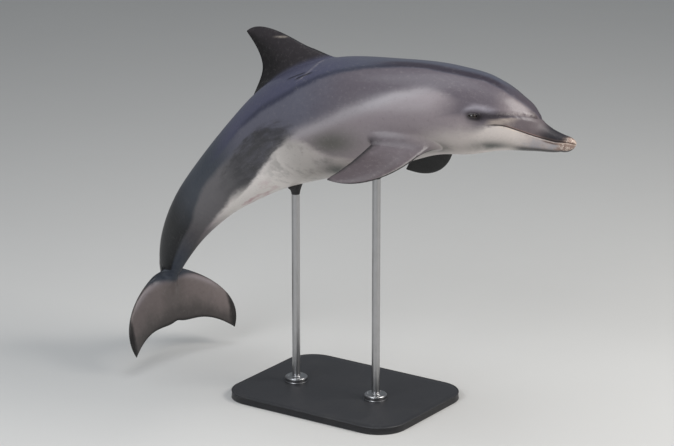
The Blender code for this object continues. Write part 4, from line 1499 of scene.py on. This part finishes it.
        # painted shade by the flipper: under its root and past its tip
        w.lay(self.flipper_root, w.spot(0.276, 0.026, 130.0, 11.0) * uneven)
        w.lay(self.throat_shade, w.spot(0.396, 0.026, 156.0, 16.0) * uneven)
        blush = b.noise(b.stretched(w.laid, 0.5, 1.4, 1.4), 12.0, 3.0).step(0.46, 0.64)
        blush = blush * pale * s.step(0.52, 0.62) * s.step(0.78, 0.70) * w.degrees.step(142.0, 152.0)
        w.lay(self.rose, blush * 0.85)
        stain = belly.step(-2.0, 12.0) * (w.cloud + w.broad).step(0.0, 0.24)
        w.lay(self.olive, stain * s.step(0.22, 0.30) * s.step(0.60, 0.50) * 0.40)

    def lay_tongue(self, w: SkinCoats) -> None:
        """The dark tongue that reaches forward over the side of the belly."""
        s = w.station
        core = w.edge("tongue", 1.0, 26.0).step(-8.0, 6.0) * w.edge("blaze", 0.5, 10.0).step(2.0, -3.0)
        core = core * s.step(0.415, 0.475) * s.step(0.70, 0.58) * (0.84 + w.brushed * 1.6).at_most(1.0)
        w.lay(self.tongue, core)

    def lay_cape(self, w: SkinCoats) -> None:
        """The cape with a painted sky reflection making its top paler and bluer, a dark band inside its edge
        in front, and a dark line behind.
        """
        s, cape = w.station, w.edge("cape", 0.7)
        back = w.along((0.0, self.cape), (0.36, self.rear_cape_with_sheen), (0.62, self.stock), (0.77, self.shaded_stock_end))
        w.lay(back, cape.step(4.0, -3.0))
        band = cape.step(2.5, -3.0) * cape.step(-19.0, -9.0) * s.step(0.335, 0.27) * s.step(0.10, 0.14)
        w.lay(self.cape_shade, band * 0.88)
        w.lay(self.cape_line, (cape + 2.0).hump(4.0) * s.step(0.25, 0.30) * s.step(0.60, 0.50) * 0.62)

    def lay_melon(self, w: SkinCoats) -> None:
        """The melon's cape and side, painted shade on the throat, and painted shade in the hollow at the root
        of the beak.
        """
        s, degrees = w.station, w.degrees
        cape = w.bench.number("cape") + w.cloud * 6.0
        melon = (s + w.cloud * 0.012).step(0.142, 0.098)
        w.lay(self.melon_cape, melon * cape.step(4.0, -3.0) * 0.9)
        w.lay(self.melon_side, melon * cape.step(2.0, 9.0) * (w.fold + w.mottle * 5.0).step(-2.0, 4.0))
        patchy_shade = (w.cloud * 2.2 + w.broad + 0.9).at_most(1.0)
        # painted shade on the throat, in two uneven patches
        w.lay(self.throat_shade, w.spot(0.126, 0.032, 144.0, 14.0) * patchy_shade * 0.95)
        w.lay(self.throat_shade, w.spot(0.210, 0.024, 147.0, 12.0) * patchy_shade * 0.95)
        # painted shade in the hollow where the melon meets the beak
        hollow_shade = (s - 0.0705 + w.mottle * 0.008).hump(0.0085)
        w.lay(self.crease, hollow_shade * degrees.step(64.0, 52.0) * degrees.step(30.0, 42.0) * 0.80)

    def lay_jaw(self, w: SkinCoats) -> None:
        """The pale lower jaw, bluish in front, with painted shade underneath, and the cheek."""
        s, lips, fold = w.station, w.lips, w.fold
        below = lips.step(2.0, -6.0) * s.step(0.135, 0.115)
        w.lay(self.jaw, below * s.step(0.092, 0.058) * 0.9)
        bluish = (w.cloud * 2.0 + w.mottle + 0.2).step(0.0, 0.55) * s.step(0.095, 0.075)
        w.lay(self.jaw_blue, below * bluish * 0.55)
        # painted shade on the underside of the jaw
        w.lay(self.shade_under_jaw, w.degrees.step(128.0, 152.0) * s.step(0.105, 0.076) * 0.94)
        cheek = lips.step(-2.0, 3.0) * (s + w.cloud * 0.012).step(0.142, 0.124) * s.step(0.082, 0.104)
        w.lay(self.cheek, cheek * (fold + w.mottle * 4.0).step(-3.0, -11.0) * 0.9)

    def lay_beak(self, w: SkinCoats) -> None:
        """The upper beak's bridge, sides and saddle, and a streak on the lower jaw."""
        s, lips, fold = w.station, w.lips, w.fold
        above = lips.step(-1.0, 3.0)
        slant = s + w.mottle * 0.016 + w.cloud * 0.016 + (fold + 14.0).at_least(-24.0) * 0.0006
        w.lay(self.beak, above * (fold + w.mottle * 4.0).step(1.0, -3.0) * slant.step(0.114, 0.076))
        sides = above * lips.step(34.0, 6.0) * (s + w.mottle * 0.010).step(0.082, 0.038)
        w.lay(self.beak_side, sides * s.step(0.008, 0.018) * 0.95)
        saddle = above * (s + w.cloud * 0.010).step(0.068, 0.040) * (s + w.mottle * 0.005).step(0.005, 0.011)
        w.lay(self.beak_saddle, saddle * (lips + w.mottle * 3.0).step(3.0, 12.0) * 0.93)
        dusky = (lips + w.mottle * 4.0 + 7.5).hump(4.0) * (s + w.cloud * 0.02).step(0.056, 0.044)
        w.lay(self.jaw_streak, dusky * s.step(0.018, 0.028) * 0.90)

    def lay_beak_tip(self, w: SkinCoats) -> Value:
        """The pale tip of the beak, whose share comes back, with a painted highlight over its top, and the
        painted glints over the fold.
        """
        s, lips, fold = w.station, w.lips, w.fold
        blunt = s + w.mottle * 0.018 + w.cloud * 0.010 - lips.step(2.0, -6.0) * 0.010
        # the pale tip reaches up over the top of the beak: a painted highlight there
        tip = blunt.step(0.024, 0.010) * (lips + w.mottle * 8.0).step(27.0, 16.0)
        tip = (tip * w.degrees.step(156.0, 134.0)).at_least(s.step(0.0040, 0.0015))
        w.lay(self.beak_tip, tip * 0.92)
        w.lay(self.beak_fleck, tip * (w.mottle + w.grain * 0.8).step(0.03, 0.12) * 0.80)
        # painted glints of light above the fold of the melon
        glints = (fold - 9.0 + w.cloud * 8.0).hump(6.0) * s.step(0.068, 0.080) * s.step(0.130, 0.112)
        glints = glints * (w.mottle * 2.6 + w.grain * 1.2 + 0.42).at_most(1.0).at_least(0.0)
        w.lay(self.rear_belly, glints * 0.34)
        return tip

    def lay_lips(self, w: SkinCoats, tip: Value) -> None:
        """A painted highlight along the lower lip, the rosy upper lip and the dark line between the lips."""
        s, lips = w.station, w.lips
        # painted highlight along the lower lip
        lit_lower_lip = (lips + 3.6).hump(2.2) * s.step(0.122, 0.108) * (w.mottle * 2.2 + 0.62).at_most(1.0)
        w.lay(self.lower_lip_highlight, lit_lower_lip * (0.55 + (s - 0.100).hump(0.016) * 0.45))
        rose = (lips - 3.4).hump(1.8) * s.step(0.116, 0.104) * s.step(0.046, 0.062)
        w.lay(self.lip_rose, rose * 0.80)
        w.lay(self.lip, (lips - 0.5).hump(2.4) * s.step(0.136, 0.122) * (1.0 - tip * 0.55) * 0.97)

    def lay_eye(self, w: SkinCoats) -> None:
        """The eye's stripe, a painted highlight on the brow, the dark patch, and painted shade in the socket.
        """
        b = w.bench
        w.lay(self.eye_stripe, b.number("line") * (0.95 + w.mottle * 0.5))
        # painted highlight on the swelling of the brow
        w.lay(self.brow, b.number("brow") * 0.8)
        w.lay(self.eye_patch, (b.number("patch") * 1.25 + w.mottle * 0.3).at_most(1.0) * 0.92)
        # painted shade deep in the socket round the eyeball
        w.lay(self.socket, b.number("socket").step(0.1, 0.6))

    def fin_rim(self, w: SkinCoats) -> Value:
        """Share of a fin's places close to its edges."""
        rear, tip = (w.chord + w.mottle * 0.05).step(0.90, 0.985), (w.span + w.cloud * 0.08).step(0.93, 1.0)
        return rear.at_least(tip).at_least((w.chord + w.mottle * 0.02).step(0.030, 0.0) * 0.85)

    def lay_dorsal(self, w: SkinCoats, rim: Value) -> None:
        """The dark dorsal fin, darker to the rear, with a pale scar."""
        b, fin = w.bench, Coats(w.bench, self.fin)
        fin.lay(self.fin_shade, (w.chord + w.cloud * 0.5 + w.broad * 0.3).step(0.22, 0.80) * 0.9)
        behind, over = w.station - 0.490, b.part_of(w.laid, "Z") / BODY_LENGTH - 0.1515
        scar = (behind * 0.958 + over * 0.286).hump(0.012) * (over * 0.958 - behind * 0.286).hump(0.0016)
        fin.lay(self.scar, scar * (w.mottle + 0.5).step(0.20, 0.5) * 0.9)
        fin.lay(self.fin_edge, rim)
        w.lay(fin.colour, b.number("dorsal").step(0.03, 0.50))

    def lay_flippers(self, w: SkinCoats, rim: Value) -> None:
        """The flippers: paler at the root, and nearly black inside, where their dark grey is deepened by
        painted shade.
        """
        b, flipper = w.bench, w.bench.number("flipper")
        paddle = Coats(b, self.flipper_root)
        paddle.lay(self.flipper, (w.span + w.cloud * 0.3).step(0.10, 0.50))
        paddle.lay(self.fin_shade, (w.chord + w.cloud * 0.3).step(0.75, 1.05) * 0.6)
        # nearly black inside: dark grey deepened by painted shade
        paddle.lay(self.flipper_inside, b.number("upper").step(0.2, -0.2))
        paddle.lay(self.fin_edge, rim * flipper.step(0.80, 1.0) * 0.9)
        w.lay(paddle.colour, flipper.step(0.04, 0.60))

    def lay_flukes(self, w: SkinCoats, rim: Value) -> None:
        """The flukes, darker to the rear and at the root, with a sheen in front."""
        chord, span, tail = w.chord, w.span, Coats(w.bench, self.fluke)
        tail.lay(self.fluke_root, (chord + w.cloud * 0.5 + w.broad * 0.4).step(0.30, 0.85))
        tail.lay(self.fluke_root, span.step(0.30, 0.08) * 0.45)
        tail.lay(self.fin_edge, (chord + w.cloud * 0.4).step(0.62, 1.0) * 0.4)
        tail.lay(self.side, (chord - 0.08).hump(0.07) * span.step(0.03, 0.15) * span.step(0.92, 0.70) * 0.75)
        tail.lay(self.fin_edge, rim * 0.9)
        w.lay(tail.colour, w.bench.number("fluke").step(0.15, 0.75))

    def lay_flecks(self, w: SkinCoats, share: Value) -> None:
        """Fine mottling and a few rake marks, the pale ones faded by a share."""
        b, spot = w.bench, w.mottle + w.grain * 0.6
        pale = spot.step(0.04, 0.30) * (0.10 + w.station.step(0.62, 0.34) * 0.12)
        w.glaze(self.fleck_pale, 0.30, pale * share)
        w.glaze(self.fleck_dark, 0.40, spot.step(-0.02, -0.30) * 0.34)
        rakes = b.noise(b.stretched(w.laid, 1.6, 30.0, 30.0), 3.0, 2.0, 0.5, 0.15) - 0.5
        w.glaze(self.rake, 0.5, rakes.hump(0.008) * (w.broad + w.cloud).step(0.08, 0.24) * 0.14 * share)


@dataclass(frozen=True)
class EyeFinish:
    """Dark brown iris round an oval pupil, dusky white and a wet cornea."""

    pupil: Colour = paint(5, 4, 5)
    iris: Colour = paint(50, 33, 24)
    iris_rim: Colour = paint(14, 9, 7)
    white: Colour = paint(26, 20, 20)
    corner: Colour = paint(66, 44, 42)

    def make(self) -> bpy.types.Material:
        """Rings of colour round the pole of the ball, with streaks in the iris."""
        b = Bench("wet_eye")
        look = b.vector("look")
        ahead, up = b.part_of(look, "X"), b.part_of(look, "Y")
        away = (ahead * ahead + up * up) ** 0.5
        oval = ((ahead / 1.5) * (ahead / 1.5) + up * up) ** 0.5
        fibre = b.noise(b.stretched(look, 9.0, 9.0, 1.0), 5.0, 4.0, 0.65, 0.3) - 0.5
        vein = b.noise(look, 14.0, 5.0, 0.65, 1.2) - 0.5
        colour = b.blend(self.white, self.corner, (away + vein * 0.2).step(0.66, 0.92))
        colour = b.blend(colour, self.iris_rim, away.step(0.62, 0.54))
        iris = b.blend(self.iris, self.iris_rim, (fibre * 2.0 + 0.5).at_most(1.0) * 0.6)
        colour = b.blend(colour, iris, away.step(0.54, 0.47))
        colour = b.blend(colour, self.pupil, oval.step(0.21, 0.17))
        normal = b.bump(vein, 0.0002, 0.3)
        return b.finish(Base_Color=colour, Roughness=0.34 + vein * 0.1, Normal=normal, Coat_Weight=0.55,
                        Coat_Roughness=0.03)


@dataclass(frozen=True)
class DolphinEye:
    """One eyeball, deep in its socket, with a slightly raised cornea."""

    pose: LeapPose
    body: BodyForm
    side: Side
    radius: float = EYE_RADIUS
    sunk: float = EYE_SUNK
    cornea: float = 0.0004  # how far it stands out
    cornea_reach: float = 0.42  # radians from the pole
    rings: int = 40
    steps: int = 64

    def build(self) -> Piece:
        """Makes a ball whose pole looks out, with a bell over it for the cornea."""
        angle = self.body.angle_at(*self.body.eye)
        outward = self.body.outward(self.body.eye[0], angle)
        centre = self.body.outline(self.body.eye[0], angle) - outward * self.sunk / self.pose.body_length
        near = centre + np.stack([np.zeros(3), outward, np.array([-1.0, 0.0, 0.0])]) * 0.002
        world = self.pose.bend(near * np.array([1, self.side.value, 1]))
        out = unit(world[1] - world[0])
        ahead = world[2] - world[0]
        ahead = unit(ahead - (ahead @ out) * out)
        across = np.cross(out, ahead)
        from_pole = math.pi * np.linspace(0, 1, self.rings + 1)[1:-1, None] ** 1.3
        turn = np.arange(self.steps)[None] * 2 * math.pi / self.steps
        sideways = np.sin(from_pole)
        local = (sideways * np.cos(turn), sideways * np.sin(turn), np.cos(from_pole))
        local = np.stack(np.broadcast_arrays(*local), axis=-1)
        size = self.radius + self.cornea * hump(from_pole, self.cornea_reach)
        rings = world[0] + size[..., None] * (local @ np.stack([ahead, across, out]))
        front, rear = world[0] + out * (self.radius + self.cornea), world[0] - out * self.radius
        piece = closed_piece(f"eyeball_{self.side.name.lower()}", rings, front, rear)
        look = np.concatenate([[[0.0, 0.0, 1.0]], local.reshape(-1, 3), [[0.0, 0.0, -1.0]]])
        store(piece, "look", look * np.array([1, self.side.value, 1]))
        return piece


# -------------------- stand


@dataclass(frozen=True)
class PowderCoat:
    """Satin black powder coat: fine orange peel, dust and a few scuffs."""

    coat: Colour = paint(44, 44, 47)
    dusty: Colour = paint(92, 91, 90)

    def make(self) -> bpy.types.Material:
        """Two greys by dust and scuffs, over a pebbled relief."""
        b = Bench("black_powder_coat")
        place = b.own_place()
        dust = b.noise(place, 9.0, 6.0, 0.65) - 0.5
        speck = b.noise(place, 520.0, 2.0, 0.5) - 0.5
        pebble = b.cells(place, 620.0)
        scuff = (b.noise(b.stretched(place, 1.0, 14.0, 1.0), 9.0, 3.0, 0.6, 0.5) - 0.5).hump(0.006)
        share = dust.step(-0.05, 0.35) * 0.16 + speck.step(0.10, 0.30) * 0.10
        colour = b.blend(self.coat, self.dusty, share + scuff * dust.step(0.0, 0.2) * 0.10)
        normal = b.bump(pebble, 0.0003, 0.30)
        return b.finish(Base_Color=colour, Roughness=0.46 + dust * 0.20 + speck * 0.12, Normal=normal)


@dataclass(frozen=True)
class SatinSteel:
    """Stainless steel, brushed along the rods."""

    steel: Colour = paint(186, 186, 188)
    dull: Colour = paint(150, 149, 148)

    def make(self) -> bpy.types.Material:
        """Long fine brush marks in tone, roughness and relief."""
        b = Bench("satin_steel")
        place = b.own_place()
        brush = b.noise(b.stretched(place, 1.0, 1.0, 0.02), 900.0, 3.0, 0.6) - 0.5
        stain = b.noise(place, 22.0, 5.0, 0.6) - 0.5
        colour = b.blend(self.steel, self.dull, (brush * 0.5 + stain * 0.5 + 0.35).at_most(1.0))
        normal = b.bump(brush, 0.00004, 0.25)
        rough = 0.30 + brush * 0.08 + stain * 0.06
        return b.finish(Base_Color=colour, Roughness=rough, Metallic=1.0, Normal=normal)


@dataclass(frozen=True)
class SoftRubber:
    """Matt black rubber of the cups that the belly rests in."""

    rubber: Colour = paint(34, 33, 34)
    bloom: Colour = paint(66, 65, 66)

    def make(self) -> bpy.types.Material:
        """Black with a greyish bloom and fine grain."""
        b = Bench("black_rubber")
        place = b.own_place()
        bloom, grain = b.noise(place, 60.0, 4.0, 0.6) - 0.5, b.noise(place, 1400.0, 2.0) - 0.5
        colour = b.blend(self.rubber, self.bloom, bloom.step(-0.1, 0.3) * 0.5)
        return b.finish(Base_Color=colour, Roughness=0.70 + bloom * 0.2, Normal=b.bump(grain, 0.0002, 0.3))


@dataclass(frozen=True)
class DisplayStand:
    """Flat base, and two upright rods with a screwed-down collar and a rubber cup each."""

    pose: LeapPose
    body: BodyForm
    corner: float = 0.12  # radius of the base's corners
    corner_steps: int = 24
    edge: float = 0.004  # radius of its rounded upper edge
    edge_steps: int = 6
    rod_stations: tuple[tuple[str, float], ...] = (("front", 0.335), ("rear", 0.500))
    cup_radius: float = 0.030
    cup_profile: Landmarks = (  # share of its radius, millimetres under the belly, share of the belly's slope
        (0.30, -3.0, 1.0), (0.80, -2.0, 1.0), (0.93, -0.5, 1.0), (0.99, 1.0, 1.0), (1.00, 2.4, 1.0),
        (0.98, 4.2, 1.0), (0.90, 7.5, 0.9), (0.78, 13.0, 0.6), (0.68, 20.0, 0.3), (0.60, 28.0, 0.1),
        (0.57, 34.0, 0.0), (0.555, 36.0, 0.0), (0.55, 37.0, 0.0),
    )
    collar_bead: Landmarks = (  # radius and height over the top, millimetres
        (16.8, 2.2), (18.2, 2.6), (19.6, 2.0), (20.4, 0.4), (21.2, 0.0), (22.5, 0.0),
    )
    collar_top: Landmarks = (  # how far inside its radius and under its top, millimetres
        (6.0, 0.0), (4.6, 0.3), (1.2, 3.2), (0.2, 4.6), (0.0, 5.8),
    )
    collar_foot: Landmarks = (  # how far inside its radius and over its bottom, millimetres
        (0.0, 5.2), (0.8, 4.6), (0.8, 3.6), (0.0, 3.0), (0.0, 0.6), (0.6, 0.0),
    )
    screw_ring: float = 0.030  # radius of the circle that the screws are on
    screw_profile: Landmarks = (  # radius and height over the collar, millimetres
        (0.1, 0.6), (1.8, 0.6), (1.98, 2.0), (2.34, 2.5), (3.42, 2.1), (4.23, 1.1), (4.5, 0.2), (4.5, -1.0),
    )
    steps: int = 72

    def build(self) -> list[tuple[Piece, tuple[str, ...], str]]:
        """Makes the pieces, each with the nodes that it stands for and its slot."""
        coat, steel, rubber = PowderCoat().make(), SatinSteel().make(), SoftRubber().make()
        made = [(self.base(), ("stand_base",), "stand_black", coat)]
        for word, station in self.rod_stations:
            rod, collar = f"stand_rod_{word}", f"stand_collar_{word}"
            made.append((self.rod(word), (rod,), "stand_steel", steel))
            made.append((self.collar(word), (collar,), "stand_steel", steel))
            made.append((self.screws(word), (), "stand_steel", steel))
            made.append((self.cup(word, station), (), "stand_black", rubber))
        for piece, _, _, finish in made:
            piece.data.materials.append(finish)
        return [(piece, nodes, slot) for piece, nodes, slot, _ in made]

    def base(self) -> Piece:
        """Plate with round corners, from rings of its outline."""
        low, high = (np.array(end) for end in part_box("stand_base"))
        half, middle = (high - low) / 2, (high + low) / 2
        turn = (np.arange(4 * self.corner_steps) + 0.5) * math.pi / (2 * self.corner_steps)
        quarter = np.stack([np.sign(np.cos(turn)), np.sign(np.sin(turn))], axis=-1)
        spread = np.stack([np.cos(turn), np.sin(turn)], axis=-1)
        arc = np.linspace(0, math.pi / 2, self.edge_steps)
        inset = np.concatenate([self.edge * (1 - np.sin(arc[::-1])), [0.0, 0.0008]])
        height = np.concatenate([high[2] - self.edge * (1 - np.cos(arc[::-1])), [low[2] + 0.0008, low[2]]])
        inset = np.concatenate([[0.10, 0.03, 0.010], inset, [0.02, 0.10]])
        height = np.concatenate([np.full(3, high[2]), height, np.full(2, low[2])])
        radius = np.maximum(self.corner - inset, 0.02)[:, None, None]
        reach = half[:2] - inset[:, None, None] - radius
        plan = middle[:2] + quarter * reach + spread * radius
        rings = np.concatenate([plan, np.broadcast_to(height[:, None, None], (*plan.shape[:2], 1))], axis=-1)
        ends = [np.array([middle[0], middle[1], z]) for z in (high[2], low[2])]
        return closed_piece("base_plate", rings, *ends)

    def rod(self, word: str) -> Piece:
        """Upright rod with a slightly broken lower edge."""
        low, high = (np.array(end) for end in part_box(f"stand_rod_{word}"))
        radius, axis = (high[0] - low[0]) / 2, (high + low) / 2
        profile = [(radius - 0.001, high[2]), (radius, high[2] - 0.001)]
        profile += [(radius, z) for z in np.linspace(high[2] - 0.01, low[2] + 0.01, 24)]
        profile += [(radius, low[2] + 0.0006), (radius - 0.0006, low[2])]
        return closed_piece(f"rod_{word}", *turned_rings(axis, profile, self.steps))

    def collar(self, word: str) -> Piece:
        """Round collar with a chamfer, a groove and a bead at the rod."""
        low, high = (np.array(end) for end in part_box(f"stand_collar_{word}"))
        radius, axis, bottom, top = (high[0] - low[0]) / 2, (high + low) / 2, low[2], high[2]
        profile = [(wide / 1000, top + over / 1000) for wide, over in self.collar_bead]
        profile += [(radius - inset / 1000, top - under / 1000) for inset, under in self.collar_top]
        profile += [(radius - inset / 1000, bottom + over / 1000) for inset, over in self.collar_foot]
        return closed_piece(f"collar_{word}", *turned_rings(axis, profile, self.steps))

    def screws(self, word: str) -> Piece:
        """Three dome-headed socket screws on the collar."""
        low, high = (np.array(end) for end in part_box(f"stand_collar_{word}"))
        middle = (high + low) / 2
        profile = [(wide / 1000, high[2] + over / 1000) for wide, over in self.screw_profile]
        parts = []
        for turn in (math.pi / 2, math.pi * 7 / 6, math.pi * 11 / 6):
            axis = middle + self.screw_ring * np.array([math.cos(turn), math.sin(turn), 0.0])
            parts.append(closed_mesh(*turned_rings(axis, profile, 24)))
        starts = np.cumsum([0] + [len(points) for points, _ in parts[:-1]])
        points = np.concatenate([points for points, _ in parts])
        faces = [
            np.concatenate([part[kind] + start for (_, part), start in zip(parts, starts)]) for kind in (0, 1)
        ]
        return mesh_object(f"screws_{word}", points, faces)

    def cup(self, word: str, station: float) -> Piece:
        """Flared sleeve whose rim follows a quadratic fitted to the belly."""
        along, across = station + np.linspace(-0.06, 0.09, 91), math.pi + np.linspace(-0.5, 0.5, 61)
        belly = self.pose.bend(self.body.skin(*np.meshgrid(along, across)).reshape(-1, 3))
        low, high = (np.array(end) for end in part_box(f"stand_rod_{word}"))
        axis = (low + high) / 2
        x, y = (belly[:, :2] - axis[:2]).T
        near = np.hypot(x, y) < 1.6 * self.cup_radius
        fit = np.linalg.lstsq(quadratic_terms(x[near], y[near]), belly[near, 2], rcond=None)[0]
        radius, drop, share = (np.array(column)[:, None] for column in zip(*self.cup_profile))
        turn = np.arange(self.steps) * 2 * math.pi / self.steps
        x, y = radius * self.cup_radius * np.cos(turn), radius * self.cup_radius * np.sin(turn)
        z = fit[0] + share * (quadratic_terms(x, y) @ fit - fit[0]) - drop / 1000
        rings = np.stack([axis[0] + x, axis[1] + y, z], axis=-1)
        ends = (np.array([axis[0], axis[1], fit[0] - depth / 1000]) for depth in (drop[0, 0], drop[-1, 0]))
        return closed_piece(f"belly_cup_{word}", rings, *ends)


# -------------------- studio


def aim(holder: Piece, place: Point, direction: Vector) -> None:
    """Puts a lamp or a camera at a place, looking along a direction."""
    holder.location = place
    holder.rotation_euler = direction.to_track_quat("-Z", "Y").to_euler()
    bpy.context.scene.collection.objects.link(holder)


@dataclass(frozen=True)
class Softbox:
    """A square soft light that faces a point."""

    name: str
    place: Point
    towards: Point
    size: float  # metres
    power: float  # watts
    colour: Colour

    def build(self) -> None:
        """Makes the light."""
        lamp = bpy.data.lights.new(self.name, "AREA")
        lamp.size, lamp.energy, lamp.color = self.size, self.power, self.colour
        aim(bpy.data.objects.new(self.name, lamp), self.place, Vector(self.towards) - Vector(self.place))


@dataclass(frozen=True)
class Studio:
    """Pale floor, even sky, soft lights and the camera."""

    floor_half: float = 60.0
    floor_light: Colour = (0.640, 0.630, 0.612)
    floor_dark: Colour = (0.600, 0.590, 0.572)
    sky: Colour = (0.80, 0.86, 0.92)
    sky_strength: float = 0.26
    lights: tuple[Softbox, ...] = (
        Softbox("key", (4.5, 1.3, 4.5), (0.2, 0.0, 1.0), 3.0, 270.0, (1.0, 0.97, 0.93)),
        Softbox("fill", (-0.3, -5.6, 4.1), (0.0, 0.0, 0.9), 4.0, 210.0, (0.93, 0.96, 1.0)),
        Softbox("top", (-0.3, -0.4, 6.2), (0.0, 0.0, 1.0), 4.0, 110.0, (0.92, 0.96, 1.0)),
    )
    camera_place: Point = (6.36966, -9.43274, 4.21981)
    camera_towards: Point = (-0.537186, 0.790698, -0.293646)
    camera_lens: float = 162.54  # millimetres
    sensor_width: float = 36.0

    def build(self) -> None:
        """Makes the floor, the sky light, the lights and the camera."""
        self.floor()
        self.light_sky()
        for light in self.lights:
            light.build()
        self.camera()

    def floor(self) -> None:
        """A wide flat floor, faintly clouded and speckled."""
        corners = self.floor_half * np.array([(-1, -1, 0), (1, -1, 0), (1, 1, 0), (-1, 1, 0)], float)
        floor = mesh_object("floor", corners, [np.array([[0, 1, 2, 3]])], smooth=False)
        b = Bench("pale_floor")
        place = b.own_place()
        tone, speck = b.noise(place, 1.2, 5.0, 0.6), b.noise(place, 160.0, 3.0, 0.6) - 0.5
        colour = b.blend(self.floor_light, self.floor_dark, tone * 0.7 + speck * 0.5)
        floor.data.materials.append(
            b.finish(Base_Color=colour, Roughness=0.62 + tone * 0.16, Normal=b.bump(speck, 0.0004, 0.3))
        )

    def light_sky(self) -> None:
        """An even bluish light from all round."""
        world = bpy.data.worlds.new("studio")
        world.use_nodes = True
        background = world.node_tree.nodes["Background"]
        background.inputs["Color"].default_value = (*self.sky, 1)
        background.inputs["Strength"].default_value = self.sky_strength
        bpy.context.scene.world = world
        bpy.context.scene.view_settings.view_transform = "Standard"

    def camera(self) -> None:
        """The camera, level, with a long lens."""
        lens = bpy.data.cameras.new("camera")
        lens.lens, lens.sensor_width, lens.sensor_fit = self.camera_lens, self.sensor_width, "HORIZONTAL"
        lens.clip_start, lens.clip_end = 0.1, 300.0
        holder = bpy.data.objects.new("camera", lens)
        aim(holder, self.camera_place, Vector(self.camera_towards))
        bpy.context.scene.camera = holder


def put(piece: Piece, nodes: Sequence[str]) -> None:
    """Fixes a piece to the body in place of its nodes and reports it."""
    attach(piece, ROOT)
    if nodes:
        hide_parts(*nodes)
    log.info("%s: %d points, %d faces", piece.name, len(piece.data.vertices), len(piece.data.polygons))


def main() -> None:
    """Builds the studio and every piece, and reports each one."""
    logging.basicConfig(level=logging.INFO, format="%(name)s: %(message)s")
    Studio().build()
    pose, body = LeapPose(), BodyForm()
    skin = DolphinSkin(pose, body, Markings()).build()
    skin.data.materials.append(WetSkin().make())
    put(skin, ("head", "lower_jaw", "neck", "trunk", "tail_stock", "dorsal_fin", "flipper_left",
               "flipper_right", "fluke_left", "fluke_right"))
    finish = EyeFinish().make()
    for side in Side:
        eye = DolphinEye(pose, body, side).build()
        eye.data.materials.append(finish)
        put(eye, (f"eye_{side.name.lower()}",))
    for piece, nodes, slot in DisplayStand(pose, body).build():
        put(piece, nodes)


if __name__ == "__main__":
    main()
